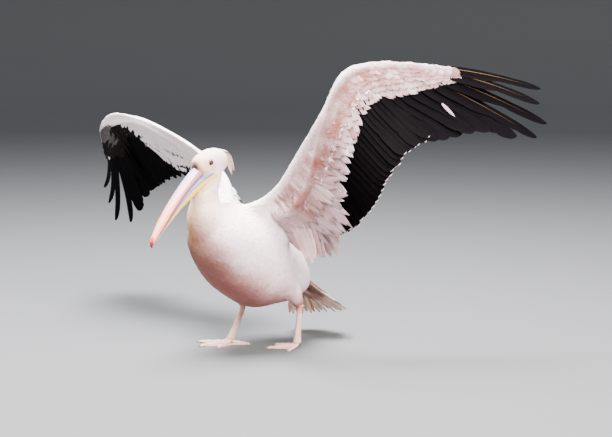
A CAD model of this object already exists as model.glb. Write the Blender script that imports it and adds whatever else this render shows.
import math

import bmesh
import bpy
import numpy as np
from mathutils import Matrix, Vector
from mathutils.bvhtree import BVHTree


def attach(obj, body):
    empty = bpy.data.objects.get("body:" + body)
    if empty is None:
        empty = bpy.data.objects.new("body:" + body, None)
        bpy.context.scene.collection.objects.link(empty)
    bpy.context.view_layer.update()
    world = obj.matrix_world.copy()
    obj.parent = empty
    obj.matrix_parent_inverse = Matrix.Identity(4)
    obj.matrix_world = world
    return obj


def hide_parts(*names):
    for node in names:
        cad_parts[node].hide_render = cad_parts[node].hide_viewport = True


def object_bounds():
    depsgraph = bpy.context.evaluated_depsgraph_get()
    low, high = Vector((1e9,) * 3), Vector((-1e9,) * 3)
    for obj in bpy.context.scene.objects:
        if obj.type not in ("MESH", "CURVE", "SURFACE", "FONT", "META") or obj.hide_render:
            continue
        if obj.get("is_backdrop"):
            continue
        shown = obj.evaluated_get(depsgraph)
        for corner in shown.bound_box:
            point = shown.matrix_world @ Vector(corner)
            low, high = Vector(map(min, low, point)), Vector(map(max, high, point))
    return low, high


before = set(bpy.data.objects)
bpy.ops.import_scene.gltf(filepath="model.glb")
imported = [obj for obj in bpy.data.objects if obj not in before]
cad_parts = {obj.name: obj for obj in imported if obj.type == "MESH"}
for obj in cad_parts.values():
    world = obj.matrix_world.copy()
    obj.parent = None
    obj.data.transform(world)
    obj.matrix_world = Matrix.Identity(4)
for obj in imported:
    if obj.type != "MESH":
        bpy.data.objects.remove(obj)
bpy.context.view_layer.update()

# ---- The studio ------------------------------------------------------------
# A seamless sweep of pale grey paper that rises into a wall all round, with a
# weak softbox in front of the bird, one on its left and a strong one overhead.
# None of this is part of the model.

# Radius and height, metres: level well past the bird, then curving up.
SWEEP_SIDES = 96
SWEEP_PROFILE = [
    (0.0, 0.0), (4.0, 0.0), (11.0, 0.0), (12.6, 0.15), (14.0, 0.7), (14.9, 1.7), (15.3, 3.6),
    (15.4, 7.5),
]


def linear(hex_colour):
    """An sRGB hex colour as linear RGBA."""
    rgb = [int(hex_colour[i:i + 2], 16) / 255 for i in (1, 3, 5)]
    return [c / 12.92 if c <= 0.04045 else ((c + 0.055) / 1.055) ** 2.4 for c in rgb] + [1.0]


def add(material, kind, inputs=None, **settings):
    """Adds a node with its settings; an input is given a value or linked to a socket."""
    node = material.node_tree.nodes.new("ShaderNode" + kind)
    for key, value in settings.items():
        setattr(node, key, value)
    for key, value in (inputs or {}).items():
        if isinstance(value, bpy.types.NodeSocket):
            material.node_tree.links.new(value, node.inputs[key])
        else:
            node.inputs[key].default_value = value
    return node


def new_material(name):
    """A material whose tree holds only its output node."""
    material = bpy.data.materials.new(name)
    material.use_nodes = True
    material.node_tree.nodes.clear()
    material.node_tree.nodes.new("ShaderNodeOutputMaterial")
    return material


def finish_material(material, shader):
    """Joins the shader to the output."""
    output = material.node_tree.nodes["Material Output"]
    material.node_tree.links.new(shader.outputs[0], output.inputs["Surface"])
    return material


def piece(name, verts, faces, materials):
    """A smooth mesh object from vertices in metres and faces."""
    mesh = bpy.data.meshes.new(name)
    mesh.from_pydata(np.asarray(verts, float), [], faces, shade_flat=False)
    for material in materials:
        mesh.materials.append(material)
    made = bpy.data.objects.new(name, mesh)
    bpy.context.scene.collection.objects.link(made)
    return made


# Seamless background paper: matt, with the faint mottling of its fibres.
paper = new_material("background_paper")
fibres = add(paper, "TexNoise", {"Scale": 60.0, "Detail": 6.0})
mottle = add(paper, "TexNoise", {"Scale": 1.3, "Detail": 2.0})
shade = add(paper, "Mix", {0: mottle.outputs["Fac"], 6: linear("#5e6061"), 7: linear("#666868")},
            data_type="RGBA")
paper_bump = add(paper, "Bump", {"Height": fibres.outputs["Fac"], "Strength": 0.05, "Distance": 0.002})
finish_material(paper, add(paper, "BsdfPrincipled", {
    "Base Color": shade.outputs[2], "Roughness": 0.9, "Specular IOR Level": 0.2,
    "Normal": paper_bump.outputs[0],
}))

turns = np.linspace(0, 2 * np.pi, SWEEP_SIDES, endpoint=False)
sweep_verts = [[0.0, 0.0, 0.0]]
for radius, height in SWEEP_PROFILE[1:]:
    sweep_verts += [[radius * math.cos(a), radius * math.sin(a), height] for a in turns]
sweep_faces = [[0, 1 + k, 1 + (k + 1) % SWEEP_SIDES] for k in range(SWEEP_SIDES)]
for ring in range(len(SWEEP_PROFILE) - 2):
    for k in range(SWEEP_SIDES):
        a = 1 + ring * SWEEP_SIDES + k
        b = 1 + ring * SWEEP_SIDES + (k + 1) % SWEEP_SIDES
        sweep_faces.append([a, a + SWEEP_SIDES, b + SWEEP_SIDES, b])
sweep = piece("studio_sweep", sweep_verts, sweep_faces, [paper])
sweep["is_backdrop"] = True


def soft_lamp(name, spot, aim, size, watts, colour):
    """A square softbox at spot, turned to aim, both in metres."""
    lamp = bpy.data.lights.new(name, "AREA")
    lamp.shape = "SQUARE"
    lamp.size = size
    lamp.energy = watts
    lamp.color = linear(colour)[:3]
    holder = bpy.data.objects.new(name, lamp)
    holder.location = spot
    holder.rotation_euler = (Vector(aim) - Vector(spot)).to_track_quat("-Z", "Y").to_euler()
    bpy.context.scene.collection.objects.link(holder)


soft_lamp("softbox_right", (-1.2, -4.0, 3.6), (0.0, 0.0, 0.5), 2.6, 170, "#fff4f0")
soft_lamp("softbox_left", (4.2, -0.9, 3.1), (0.1, -0.1, 0.4), 2.6, 900, "#fff6f4")
soft_lamp("overhead", (-0.2, -0.4, 4.4), (0.1, 0.1, 0.4), 2.4, 1800, "#fdfaff")
world = bpy.data.worlds.new("studio_air")
world.use_nodes = True
world.node_tree.nodes["Background"].inputs["Color"].default_value = linear("#dfe5ec")
world.node_tree.nodes["Background"].inputs["Strength"].default_value = 0.70
bpy.context.scene.world = world

camera_data = bpy.data.cameras.new("camera")
camera_data.lens = 85.9
camera = bpy.data.objects.new("camera", camera_data)
camera.location = (3.442, -3.053, 0.966)
looking = Vector((0.214, 0.176, 0.405)) - camera.location
camera.rotation_euler = looking.to_track_quat("-Z", "Y").to_euler()
bpy.context.scene.collection.objects.link(camera)
bpy.context.scene.camera = camera

# ---- The skin --------------------------------------------------------------
# The bare body of the bird: trunk, neck, head, thighs and wing arms grown into
# one hide, as it is under the plumage. It lies inside the outline by the depth
# of the feathers, thin on the head and about a centimetre on the trunk.

# From the bird's mid line to the row's origin, millimetres.
BODY_SHIFT = np.array([125.0, 17.0, 0.0])
VOXEL = 0.004
TRUNK_CENTRE = np.array([0, 0, 293.0])
TRUNK_PITCH = 24
HEAD_CENTRE = np.array([0.0, -161.0, 594.0])
HEAD_YAW, HEAD_PITCH = 8, -10
# [forward of the middle, half width, half height, lift], millimetres
TRUNK = [
    (-260, 21, 14, -8), (-238, 48, 38, -10), (-195, 80, 72, -12), (-130, 108, 106, -10),
    (-60, 126, 136, -11), (20, 133, 140, -3), (90, 130, 133, 5), (150, 115, 110, 13),
    (198, 86, 78, 16), (224, 54, 49, 19), (235, 23, 21, 20),
]
NECK_PATH = [
    (0, -112, 372), (0, -173, 430), (0, -183, 478), (1, -180, 514), (2, -166, 552), (3, -150, 590),
]
NECK_WIDE = (100, 63, 40.5, 34, 32, 28.5)
NECK_DEEP = (104, 69, 44.5, 38, 35, 30.5)
# [forward, lift, half width, half height]
HEAD = [
    (-70, -4, 8, 9), (-61, -3, 19, 22), (-42, 0, 28.5, 34), (-14, 3, 32.5, 39.5), (16, 3, 32.8, 39.8),
    (43, 4, 29, 34), (60, 4, 24, 26.5), (69, 1, 15.5, 15.5),
]
THIGHS = {
    "left": [(70, 62, 232), (86, 104, 176), (95, 124, 130)],
    "right": [(-66, 8, 226), (-78, 34, 172), (-85, 46, 124)],
}
SHOULDERS = {
    "left": [(0, -50, 410), (56, -50, 440), (104, -38, 478), (150, -22, 520)],
    "right": [(0, -50, 410), (-56, -50, 440), (-120, -25, 488), (-200, 10, 538)],
}
FRONT = {
    "left": [
        (56, -56, 462), (150, -26, 536), (203, -20, 602), (242, -18, 652), (330, -22, 757),
        (394, 2, 877), (444, 49, 901), (512, 118, 904), (636, 232, 886),
    ],
    "right": [
        (-56, -56, 462), (-200, 10, 545), (-320, 66, 600), (-400, 78, 628), (-500, 75, 664),
        (-620, 44, 704), (-700, 2, 714), (-770, 6, 668), (-880, 112, 560),
    ],
}
EDGE = {
    "left": [
        (112, 55, 350), (250, 20, 398), (345, 0, 445), (392, -8, 500), (440, -20, 621),
        (455, 5, 705), (482, 50, 786), (545, 122, 800), (636, 222, 838),
    ],
    "right": [
        (-100, 45, 400), (-175, 110, 455), (-300, 185, 480), (-430, 205, 520), (-540, 180, 568),
        (-650, 150, 600), (-740, 150, 592), (-805, 158, 558), (-884, 150, 530),
    ],
}
BONE_SETBACK = (0.4, 0.52, 0.42, 0.26, 0.16, 0.2, 0.3)
BONE_RADII = (27, 22.5, 18.5, 16.5, 14.5, 11, 6.5)
# The skin fold that carries the feathers: where along the chord it is measured
# and half its thickness there.
WEB_STATIONS = 60
WEB_CHORDS = (0.01, 0.2, 0.4, 0.62)
WEB_THICK = (4.2, 9.5, 7.5, 4.0)


def place(points):
    """Body millimetres, x to the bird's left, y to its back and z up, to metres in the row."""
    return (np.asarray(points, float) + BODY_SHIFT) / 1000


def curve(points, t):
    """Points at the shares t of a smooth curve through the given points."""
    p = np.asarray(points, float)
    last = len(p) - 1
    x = np.asarray(t, float) * last
    i = np.clip(x.astype(int), 0, last - 1)
    w = (x - i)[..., None]
    p = np.vstack([2 * p[:1] - p[1:2], p, 2 * p[-1:] - p[-2:-1]])
    a, b, c, d = p[i], p[i + 1], p[i + 2], p[i + 3]
    ab, bc, cd = [np.maximum(np.linalg.norm(q - r, axis=-1, keepdims=True), 1e-6) ** 0.5
                  for q, r in ((a, b), (b, c), (c, d))]
    m = ((b - a) / ab - (c - a) / (ab + bc) + (c - b) / bc) * bc
    n = ((c - b) / bc - (d - b) / (bc + cd) + (d - c) / cd) * bc
    return b + m * w + (3 * (c - b) - 2 * m - n) * w**2 + (2 * (b - c) + m + n) * w**3


def unit(v):
    """Vectors at length one."""
    v = np.asarray(v, float)
    return v / np.maximum(np.linalg.norm(v, axis=-1, keepdims=True), 1e-9)


def spread(values, t):
    """Evenly spaced values read at the shares t."""
    return np.interp(t, np.linspace(0, 1, len(values)), values)


def facing(yaw, pitch):
    """Forward, left and up of a part that is turned to the bird's left and then tipped up."""
    y, p = math.radians(yaw), math.radians(pitch)
    forward = np.array([math.sin(y) * math.cos(p), -math.cos(y) * math.cos(p), math.sin(p)])
    left = np.array([math.cos(y), math.sin(y), 0.0])
    return forward, left, np.cross(forward, left)


def loft(middles, across, upright, sides):
    """A closed shell over rings given by their middle and two half axes."""
    a = 2 * np.pi * (np.arange(sides) + 0.5) / sides
    rings = (middles[:, None] + across[:, None] * np.cos(a)[None, :, None]
             + upright[:, None] * np.sin(a)[None, :, None])
    n = len(middles)
    verts = np.vstack([rings.reshape(-1, 3), middles[:1], middles[-1:]])
    k = np.arange(sides)
    nxt = (k + 1) % sides
    faces = []
    for i in range(n - 1):
        row = i * sides
        faces += np.stack([row + k, row + nxt, row + sides + nxt, row + sides + k], 1).tolist()
    end = (n - 1) * sides
    faces += [[n * sides, int(b), int(c)] for b, c in zip(nxt, k)]
    faces += [[n * sides + 1, int(end + b), int(end + c)] for b, c in zip(k, nxt)]
    return verts, faces


def tube(path, wide, deep, across, steps, sides):
    """A shell along a smooth path; across says which way its width is measured."""
    t = np.linspace(0, 1, steps + 1)
    middle = curve(path, t)
    ahead = unit(np.gradient(middle, axis=0))
    v = unit(np.cross(ahead, across))
    u = unit(np.cross(v, ahead))
    return loft(middle, u * spread(wide, t)[:, None], v * spread(deep, t)[:, None], sides)


def gather(shells):
    """Several shells of vertices and faces as one."""
    verts, faces = [], []
    for shell_verts, shell_faces in shells:
        base = sum(len(v) for v in verts)
        verts.append(shell_verts)
        faces += [[base + i for i in face] for face in shell_faces]
    return np.vstack(verts), faces


def wing_point(side, station, chord):
    """A point on the wing's middle surface: station from body to hand, chord from front to back."""
    station, chord = np.asarray(station, float), np.asarray(chord, float)
    a, b = curve(FRONT[side], station), curve(EDGE[side], station)
    return a + (b - a) * chord[..., None]


def body_rings(table, yaw, pitch, count):
    """A short table of rings filled in smoothly, with forward, left and up of their axis."""
    return curve(table, np.linspace(0, 1, count)), *facing(yaw, pitch)


flesh = []
rows, forward, left, up = body_rings(TRUNK, 0, TRUNK_PITCH, 44)
flesh.append(loft(TRUNK_CENTRE + rows[:, :1] * forward + rows[:, 3:] * up,
                  rows[:, 1:2] * left, rows[:, 2:3] * up, 48))
flesh.append(tube(NECK_PATH, NECK_WIDE, NECK_DEEP, (1, 0, 0), 30, 36))
rows, forward, left, up = body_rings(HEAD, HEAD_YAW, HEAD_PITCH, 30)
flesh.append(loft(HEAD_CENTRE + rows[:, :1] * forward + rows[:, 1:2] * up,
                  rows[:, 2:3] * left, rows[:, 3:] * up, 40))
for side, path in THIGHS.items():
    flesh.append(tube(path, (43, 24, 11), (49, 28, 12), (1, 0, 0), 16, 24))
    stations = np.linspace(0, 0.97, 7)
    bones = [wing_point(side, s, c) for s, c in zip(stations, BONE_SETBACK)]
    flesh.append(tube(bones, BONE_RADII, [0.8 * r for r in BONE_RADII], (0, 0, 1), 50, 20))
    flesh.append(tube(SHOULDERS[side], (50, 28, 13, 5), (48, 26, 12, 5), (0, 1, 0), 20, 24))
    out = 1 if side == "left" else -1
    pit = [(out * 72, -34, 418), (out * 106, 4, 384), (out * 118, 48, 346)]
    flesh.append(tube(pit, (24, 26, 14), (24, 26, 14), (0, 0, 1), 14, 20))
    spans = np.linspace(0, 0.99, WEB_STATIONS)
    web = np.stack([wing_point(side, spans, np.full(WEB_STATIONS, c)) for c in WEB_CHORDS], 1)
    along = np.gradient(web, axis=0)
    back = np.gradient(web, axis=1)
    normal = unit(np.cross(along, back))
    thick = np.array(WEB_THICK)[None, :, None] * np.linspace(1, 0.6, WEB_STATIONS)[:, None, None]
    ring = np.concatenate([web + normal * thick, (web - normal * thick)[:, ::-1]], 1)
    count = ring.shape[1]
    web_faces = [[i * count + k, i * count + (k + 1) % count, (i + 1) * count + (k + 1) % count,
                  (i + 1) * count + k] for i in range(WEB_STATIONS - 1) for k in range(count)]
    last = (WEB_STATIONS - 1) * count
    web_faces += [list(range(count))[::-1], [last + k for k in range(count)]]
    flesh.append((ring.reshape(-1, 3), web_faces))

flesh_verts, flesh_faces = gather(flesh)
rough = piece("rough_flesh", place(flesh_verts), flesh_faces, [])
grown = rough.modifiers.new("grown_together", "REMESH")
grown.mode = "VOXEL"
grown.voxel_size = VOXEL
eased = rough.modifiers.new("eased", "SMOOTH")
eased.factor = 0.5
eased.iterations = 14
skin_mesh = bpy.data.meshes.new_from_object(
    rough.evaluated_get(bpy.context.evaluated_depsgraph_get()))
bpy.data.objects.remove(rough)

# The hide is drawn smoothly from the body on to each wing root: the middles of
# the two places and how far round them it is eased, metres.
WING_ROOTS = ((98, -10, 440), (-98, -10, 440))
EASED_ROUND = 0.075
soft_verts = np.empty((len(skin_mesh.vertices), 3))
skin_mesh.vertices.foreach_get("co", soft_verts.ravel())
pairs = np.empty(len(skin_mesh.edges) * 2, int)
skin_mesh.edges.foreach_get("vertices", pairs)
one, other = pairs.reshape(-1, 2).T
degree = np.bincount(pairs, minlength=len(soft_verts))[:, None]
ease = sum(np.exp(-(np.linalg.norm(soft_verts - place(spot), axis=1) / EASED_ROUND) ** 2)
           for spot in WING_ROOTS)
ease = np.clip(ease * 1.3, 0, 1)[:, None] * 0.6
for _ in range(60):
    total = np.stack([np.bincount(one, soft_verts[other, k], len(soft_verts))
                      + np.bincount(other, soft_verts[one, k], len(soft_verts)) for k in range(3)], 1)
    soft_verts += (total / degree - soft_verts) * ease
skin_mesh.vertices.foreach_set("co", soft_verts.ravel())

# The head is cut finer than the rest, then its eye hollows and brow are worked.
head_forward, head_left, head_up = facing(HEAD_YAW, HEAD_PITCH)
head_middle = place(HEAD_CENTRE)
sculpt = bmesh.new()
sculpt.from_mesh(skin_mesh)
on_head = {v for v in sculpt.verts if (v.co - Vector(head_middle)).length < 0.088}
sculpt_edges = [e for e in sculpt.edges if e.verts[0] in on_head and e.verts[1] in on_head]
bmesh.ops.subdivide_edges(sculpt, edges=sculpt_edges, cuts=2, use_grid_fill=True)
on_head = [v for v in sculpt.verts if (v.co - Vector(head_middle)).length < 0.09]
for _ in range(4):
    bmesh.ops.smooth_vert(sculpt, verts=on_head, factor=0.5, use_axis_x=True, use_axis_y=True,
            use_axis_z=True)
bmesh.ops.triangulate(sculpt, faces=[f for f in sculpt.faces if len(f.verts) > 4])
sculpt.to_mesh(skin_mesh)
sculpt.free()

EYE_AT = (29.0, 26.6, 9.6)  # forward, out and up of the head's middle, millimetres
hide_verts = np.empty((len(skin_mesh.vertices), 3))
skin_mesh.vertices.foreach_get("co", hide_verts.ravel())
hide_faces = [list(p.vertices) for p in skin_mesh.polygons]


def in_head(points):
    """Forward, left and up of the head's middle, in millimetres."""
    away = (points - head_middle) * 1000
    return np.stack([away @ head_forward, away @ head_left, away @ head_up], -1)


local = in_head(hide_verts)
near_head = np.linalg.norm(local, axis=1) < 95
f, l, u = local.T
eye_gap = np.hypot(f - EYE_AT[0], u - EYE_AT[2])
beside = near_head & (np.abs(l) > 14)
# A dip at the eye and one before it, a brow over it, and the swollen forehead.
hollow = np.where(beside, 2.9 * np.exp(-(eye_gap / 8.5) ** 2), 0)
hollow += np.where(beside, 1.6 * np.exp(-((f - 50) / 13) ** 2 - ((u - 2) / 10) ** 2), 0)
hollow -= np.where(beside, 1.0 * np.exp(-((eye_gap - 12.5) / 3) ** 2) * (u > 8), 0)
hide_verts -= (np.sign(l) * hollow / 1000)[:, None] * head_left
swell = 2.2 * np.exp(-((f - 60) / 15) ** 2 - ((u - 22) / 12) ** 2 - (l / 17) ** 2)
swell = np.where(near_head, swell, 0)
hide_verts += swell[:, None] / 1000 * unit(head_forward + 0.6 * head_up)

# Each eyelid is a low fleshy ring round the opening.
LID_LONG, LID_TALL = 7.9, 6.9  # half the opening, millimetres
lids = []
for out in (1, -1):
    a = np.linspace(0, 2 * np.pi, 41)[:-1]
    ring = np.stack([EYE_AT[0] + LID_LONG * np.cos(a) - 0.3, LID_TALL * np.sin(a) + EYE_AT[2]], 1)
    reach = EYE_AT[1] + 3.3 + 0.5 * np.cos(a) ** 2 - 0.05 * (ring[:, 0] - EYE_AT[0])
    middle = (HEAD_CENTRE + ring[:, :1] * head_forward + ring[:, 1:] * head_up
              + (out * reach)[:, None] * head_left)
    b = np.linspace(0, 2 * np.pi, 9)[:-1]
    outward = unit(np.cos(a)[:, None] * head_forward + np.sin(a)[:, None] * head_up)
    fat = 0.95 + 0.3 * np.sin(a)
    tubes = (middle[:, None] + (fat[:, None] * np.cos(b))[..., None] * outward[:, None]
             + (0.9 * fat[:, None] * np.sin(b))[..., None] * head_left)
    lid_faces = [[i * 8 + j, i * 8 + (j + 1) % 8, (i + 1) % 40 * 8 + (j + 1) % 8, (i + 1) % 40 * 8 + j]
                 for i in range(40) for j in range(8)]
    if out < 0:
        lid_faces = [face[::-1] for face in lid_faces]
    lids.append((place(tubes.reshape(-1, 3)), lid_faces))

# The bare legs: a tarsus flattened from side to side with a knobbly ankle, and
# four toes joined by webs, soles flat on the floor.
ANKLES = {"left": ((95, 126, 134), (95, 125, 122), (95, 113, 14)),
          "right": ((-85, 46, 128), (-85, 47, 116), (-97, 4, 14))}
TOES = {"left": [(22, 84), (45, 26), (128, 40), (62, 146)],
        "right": [(-62, -84), (-128, -104), (-182, -62), (-30, 30)]}
TARSUS_RADII = (12, 13.6, 12.4, 9.8, 8.6, 8.4, 8.8, 10, 13)
SOLE = 0.25  # the flat soles just clear the floor

legs = []
for side, path in ANKLES.items():
    legs.append(tube(path, [0.92 * r for r in TARSUS_RADII], [1.12 * r for r in TARSUS_RADII],
                     (1, 0, 0), 40, 20))
    heel = np.array([*path[2][:2], 0.0])
    for toe in TOES[side]:
        end = np.array([*toe, 0.0])
        t = np.linspace(0, 0.97, 26)
        knuckles = sum(0.16 * np.exp(-((t - at) / 0.035) ** 2) for at in (0.4, 0.66, 0.86))
        girth = np.interp(t, (0, 0.16, 0.9, 1), (11.5, 7.2, 4.4, 3.2)) * (1 + knuckles)
        girth *= np.where(t > 0.93, 0.82, 1)
        middle = heel + (end - heel) * t[:, None]
        middle[:, 2] = girth * 0.82 + 9 * np.exp(-(t / 0.13) ** 2)
        sideways = unit(np.cross(end - heel, (0, 0, 1)))
        upright = np.array([0, 0, 1.0])
        verts, faces = loft(middle, girth[:, None] * sideways, 0.86 * girth[:, None] * upright, 14)
        verts[:, 2] = np.maximum(verts[:, 2], SOLE)
        legs.append((verts, faces))
    inner, middle_toe, outer, hind = [np.array([*toe, 0.0]) for toe in TOES[side]]
    for one, other, dip in ((hind, inner, 0.5), (inner, middle_toe, 0.34), (middle_toe, outer, 0.32)):
        b = np.linspace(0, 1, 15)
        a = np.linspace(0.04, 1, 16)
        reach = 0.93 - dip * np.sin(np.pi * b) ** 0.8
        ends = one + (other - one) * b[:, None] - heel
        web = heel + ends[:, None] * (a[None, :] * reach[:, None])[..., None]
        taut = np.abs(2 * b - 1)[:, None] ** 2
        ripple = 0.35 * np.sin(9 * b[:, None] + 5 * a) * (1 - taut)
        top = web.copy()
        top[..., 2] = 2.0 + 2.2 * taut * (1.1 - 0.4 * a) + ripple + 2.5 * np.exp(-(a / 0.15) ** 2)
        low = web.copy()
        low[..., 2] = SOLE
        grid = np.arange(len(b) * len(a)).reshape(len(b), len(a))
        quads = np.stack([grid[:-1, :-1], grid[1:, :-1], grid[1:, 1:], grid[:-1, 1:]], -1).reshape(-1, 4)
        under = grid.size
        rim = list(grid[0]) + list(grid[1:, -1]) + list(grid[-1, -2::-1]) + list(grid[-2:0:-1, 0])
        sides_of = [[rim[i], rim[(i + 1) % len(rim)], under + rim[(i + 1) % len(rim)], under + rim[i]]
                    for i in range(len(rim))]
        web_faces = quads.tolist() + (quads[:, ::-1] + under).tolist() + sides_of
        legs.append((np.vstack([top.reshape(-1, 3), low.reshape(-1, 3)]), web_faces))
leg_verts, leg_faces = gather(legs)
lid_verts, lid_faces = gather(lids)
all_verts, all_faces = gather([(hide_verts, hide_faces), (lid_verts, lid_faces),
        (place(leg_verts), leg_faces)])
count_hide, count_lid = len(hide_faces), len(lid_faces)

# ---- How the plumage lies and what colour it is ----------------------------
# Feathers point from the bill back over the head, down the neck and along the
# trunk to the tail, and across each wing from its front edge to its rear. White
# plumage with a rosy cast, ochre on the breast, rusty stains under the wings.

# Middle line of the body: place, body radius, then feather length, width,
# spacing and how far the tips stand off the skin, all in millimetres.
LIE = np.array([
    (5, -236, 560, 22, 5, 2.4, 2.0, 0.6), (4, -205, 578, 28, 6, 2.6, 2.1, 0.7),
    (2, -175, 590, 33, 8, 3.0, 2.3, 0.8), (1, -145, 592, 36, 10, 3.4, 2.6, 1.0),
    (3, -150, 575, 34, 12, 3.8, 2.8, 1.2), (2, -166, 552, 34, 15, 4.4, 3.1, 1.4),
    (1, -181, 514, 37, 18, 5.4, 3.5, 1.6), (0, -186, 478, 43, 20, 6.4, 4.0, 1.7),
    (0, -172, 430, 68, 25, 9, 4.9, 1.8), (0, -135, 390, 96, 29, 12, 5.7, 2.0),
    (0, -95, 355, 118, 33, 15, 6.3, 2.2), (0, -50, 322, 132, 37, 17, 6.8, 2.3),
    (0, 0, 293, 138, 40, 19, 7.1, 2.4), (0, 60, 266, 134, 42, 20, 7.3, 2.5),
    (0, 120, 236, 112, 42, 19, 7.3, 2.6), (0, 175, 206, 84, 42, 17, 7.0, 2.8),
    (0, 225, 182, 52, 42, 16, 6.6, 3.0), (0, 262, 160, 30, 42, 15, 6.6, 3.0),
])
THIGH_LIE = np.array([(46, 28, 14, 5.8, 2.2), (30, 22, 11, 4.8, 2.0), (14, 13, 6, 3.2, 1.4)])
WING_FEATHER = (24, 11, 5.6, 1.6)  # length, width, spacing and stand-off, millimetres


def lie_table():
    """The middle lines as one table: place, way the feathers point, radius and feather sizes."""
    t = np.linspace(0, 1, 120)
    rows = curve(LIE, t)
    tables = [np.hstack([rows[:, :3], unit(np.gradient(rows[:, :3], axis=0)), rows[:, 3:]])]
    for path in THIGHS.values():
        t = np.linspace(0, 1, 24)
        spots = curve(path, t)
        sizes = np.stack([spread(THIGH_LIE[:, k], t) for k in range(5)], 1)
        tables.append(np.hstack([spots, unit(np.gradient(spots, axis=0)), sizes]))
    return np.vstack(tables)


LIE_TABLE = lie_table()


def body_lie(points):
    """Feather direction and sizes at body-millimetre points, blended from the middle lines."""
    gaps = np.linalg.norm(points[:, None] - LIE_TABLE[None, :, :3], axis=2) / LIE_TABLE[:, 6]
    weights = np.exp(-(gaps**2 - (gaps**2).min(1, keepdims=True)) / 0.06)
    weights /= weights.sum(1, keepdims=True)
    return unit(weights @ LIE_TABLE[:, 3:6]), weights @ LIE_TABLE[:, 7:]


def mottled(points, size, seed):
    """Soft cloudy noise from -1 to 1 over millimetre points, with blotches of about this size."""
    source = np.random.default_rng(seed)
    total = np.zeros(len(points))
    for k in range(7):
        way = unit(source.normal(size=3)) * (2 * np.pi / size) * (0.6 + 0.25 * k)
        total += np.sin(points @ way + source.uniform(0, 6.3)) / (1 + 0.5 * k)
    return total / 2.6


def dyed(base, colour, amount):
    """Linear colours with a hex colour laid over them by amount."""
    return base + (np.array(linear(colour)[:3]) - base) * np.clip(amount, 0, 1)[:, None]


def patch(points, middle, radii):
    """A soft-edged patch: 1 in its middle, 0 outside."""
    return np.exp(-np.sum(((points - np.array(middle)) / np.array(radii)) ** 2, 1))


# Where the bill's middle line starts, millimetres, how far it is tipped and its length.
BILL_BASE = np.array([5.0, -229.0, 566.0])
BILL_PITCH, BILL_LENGTH = -44.5, 276
bill_forward, bill_left, bill_up = facing(HEAD_YAW, BILL_PITCH)


def in_bill(points):
    """Share of the bill's length, drop below its middle line and place to its left, millimetres."""
    away = points * 1000 - BODY_SHIFT - BILL_BASE
    return away @ bill_forward / BILL_LENGTH, -(away @ bill_up), away @ bill_left


def grease_line(points):
    """How dark the skin is where the forehead meets the bill, at body-millimetre points."""
    along, drop, left = in_bill(place(points))
    line = np.clip((along + 0.088) / 0.035, 0, 1) * np.clip((14 - drop) / 6, 0, 1) * (along < 0.2)
    return line * np.exp(-((left + 3) / 26) ** 4)


def plumage_colour(points):
    """Colour of the body plumage, and of the skin under it, at body-millimetre points."""
    cloud = mottled(points, 60, 3)
    fine = mottled(points, 17, 4)
    colour = np.tile(linear("#fdf0f2")[:3], (len(points), 1))
    colour = dyed(colour, "#f6c9c8", 0.20 + 0.16 * cloud + 0.05 * fine)
    # The stain climbs from the belly to the breast.
    edge = np.interp(points[:, 1], (-220, -190, -130, -36, 90, 170), (386, 350, 284, 226, 182, 176))
    edge += np.clip(-points[:, 0] / 60, 0, 1) * np.clip((-120 - points[:, 1]) / 60, 0, 1) * 34
    low = np.clip((edge + 120 - points[:, 2] + 8 * cloud) / 170, 0, 1)
    colour = dyed(colour, "#e8928e", low * low * (0.62 + 0.10 * cloud))
    low = np.clip((edge + 38 - points[:, 2] + 8 * cloud + 5 * fine) / 112, 0, 1)
    low = low * low * (3 - 2 * low)
    colour = dyed(colour, "#7c3022", low * 0.90)
    colour = dyed(colour, "#6e3a1c", low * np.clip((-120 - points[:, 1]) / 80, 0, 1) * 0.55)
    colour = dyed(colour, "#fbdcb4", patch(points, (0, -195, 478), (70, 66, 64)) * 0.75)
    breast = patch(points, (-16, -222, 398), (66, 74, 62))
    colour = dyed(colour, "#98500c", breast * (0.88 + 0.10 * cloud))
    colour = dyed(colour, "#6b3210", patch(points, (-62, -204, 360), (42, 60, 84)) * 0.85)
    colour = dyed(colour, "#dc9c48", patch(points, (-26, -232, 440), (34, 36, 56)) * 0.62)
    colour = dyed(colour, "#7a3216", patch(points, (10, 225, 160), (90, 56, 50)) * (0.85 + 0.15 * fine))
    colour = dyed(colour, "#8a3c1c", patch(points, (84, 118, 140), (46, 40, 20)) * 0.7)
    colour = dyed(colour, "#f3b4a0", patch(points, (4, -222, 604), (46, 34, 24)) * 0.6)
    colour = dyed(colour, "#f6c8ae", patch(points, HEAD_CENTRE, (80, 80, 60)) * (0.30 + 0.12 * cloud))
    # A dark red-brown line of grease and dirt where the forehead meets the bill.
    colour = dyed(colour, "#3a0c08", grease_line(points) * 0.95)
    return dyed(colour, "#eb9a6e", patch(points, (-8, -98, 590), (26, 28, 36)) * 0.6)


# Where the white lining under the right wing ends along the chord, from body to hand.
LINING_STATIONS = (0.0, 0.2, 0.35, 0.45, 0.55, 0.65, 0.70, 0.75, 0.8, 0.9)
LINING_CHORDS = (1.45, 1.45, 1.45, 1.60, 1.86, 1.05, 0.60, 0.26, 0.12, 0.02)


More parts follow.
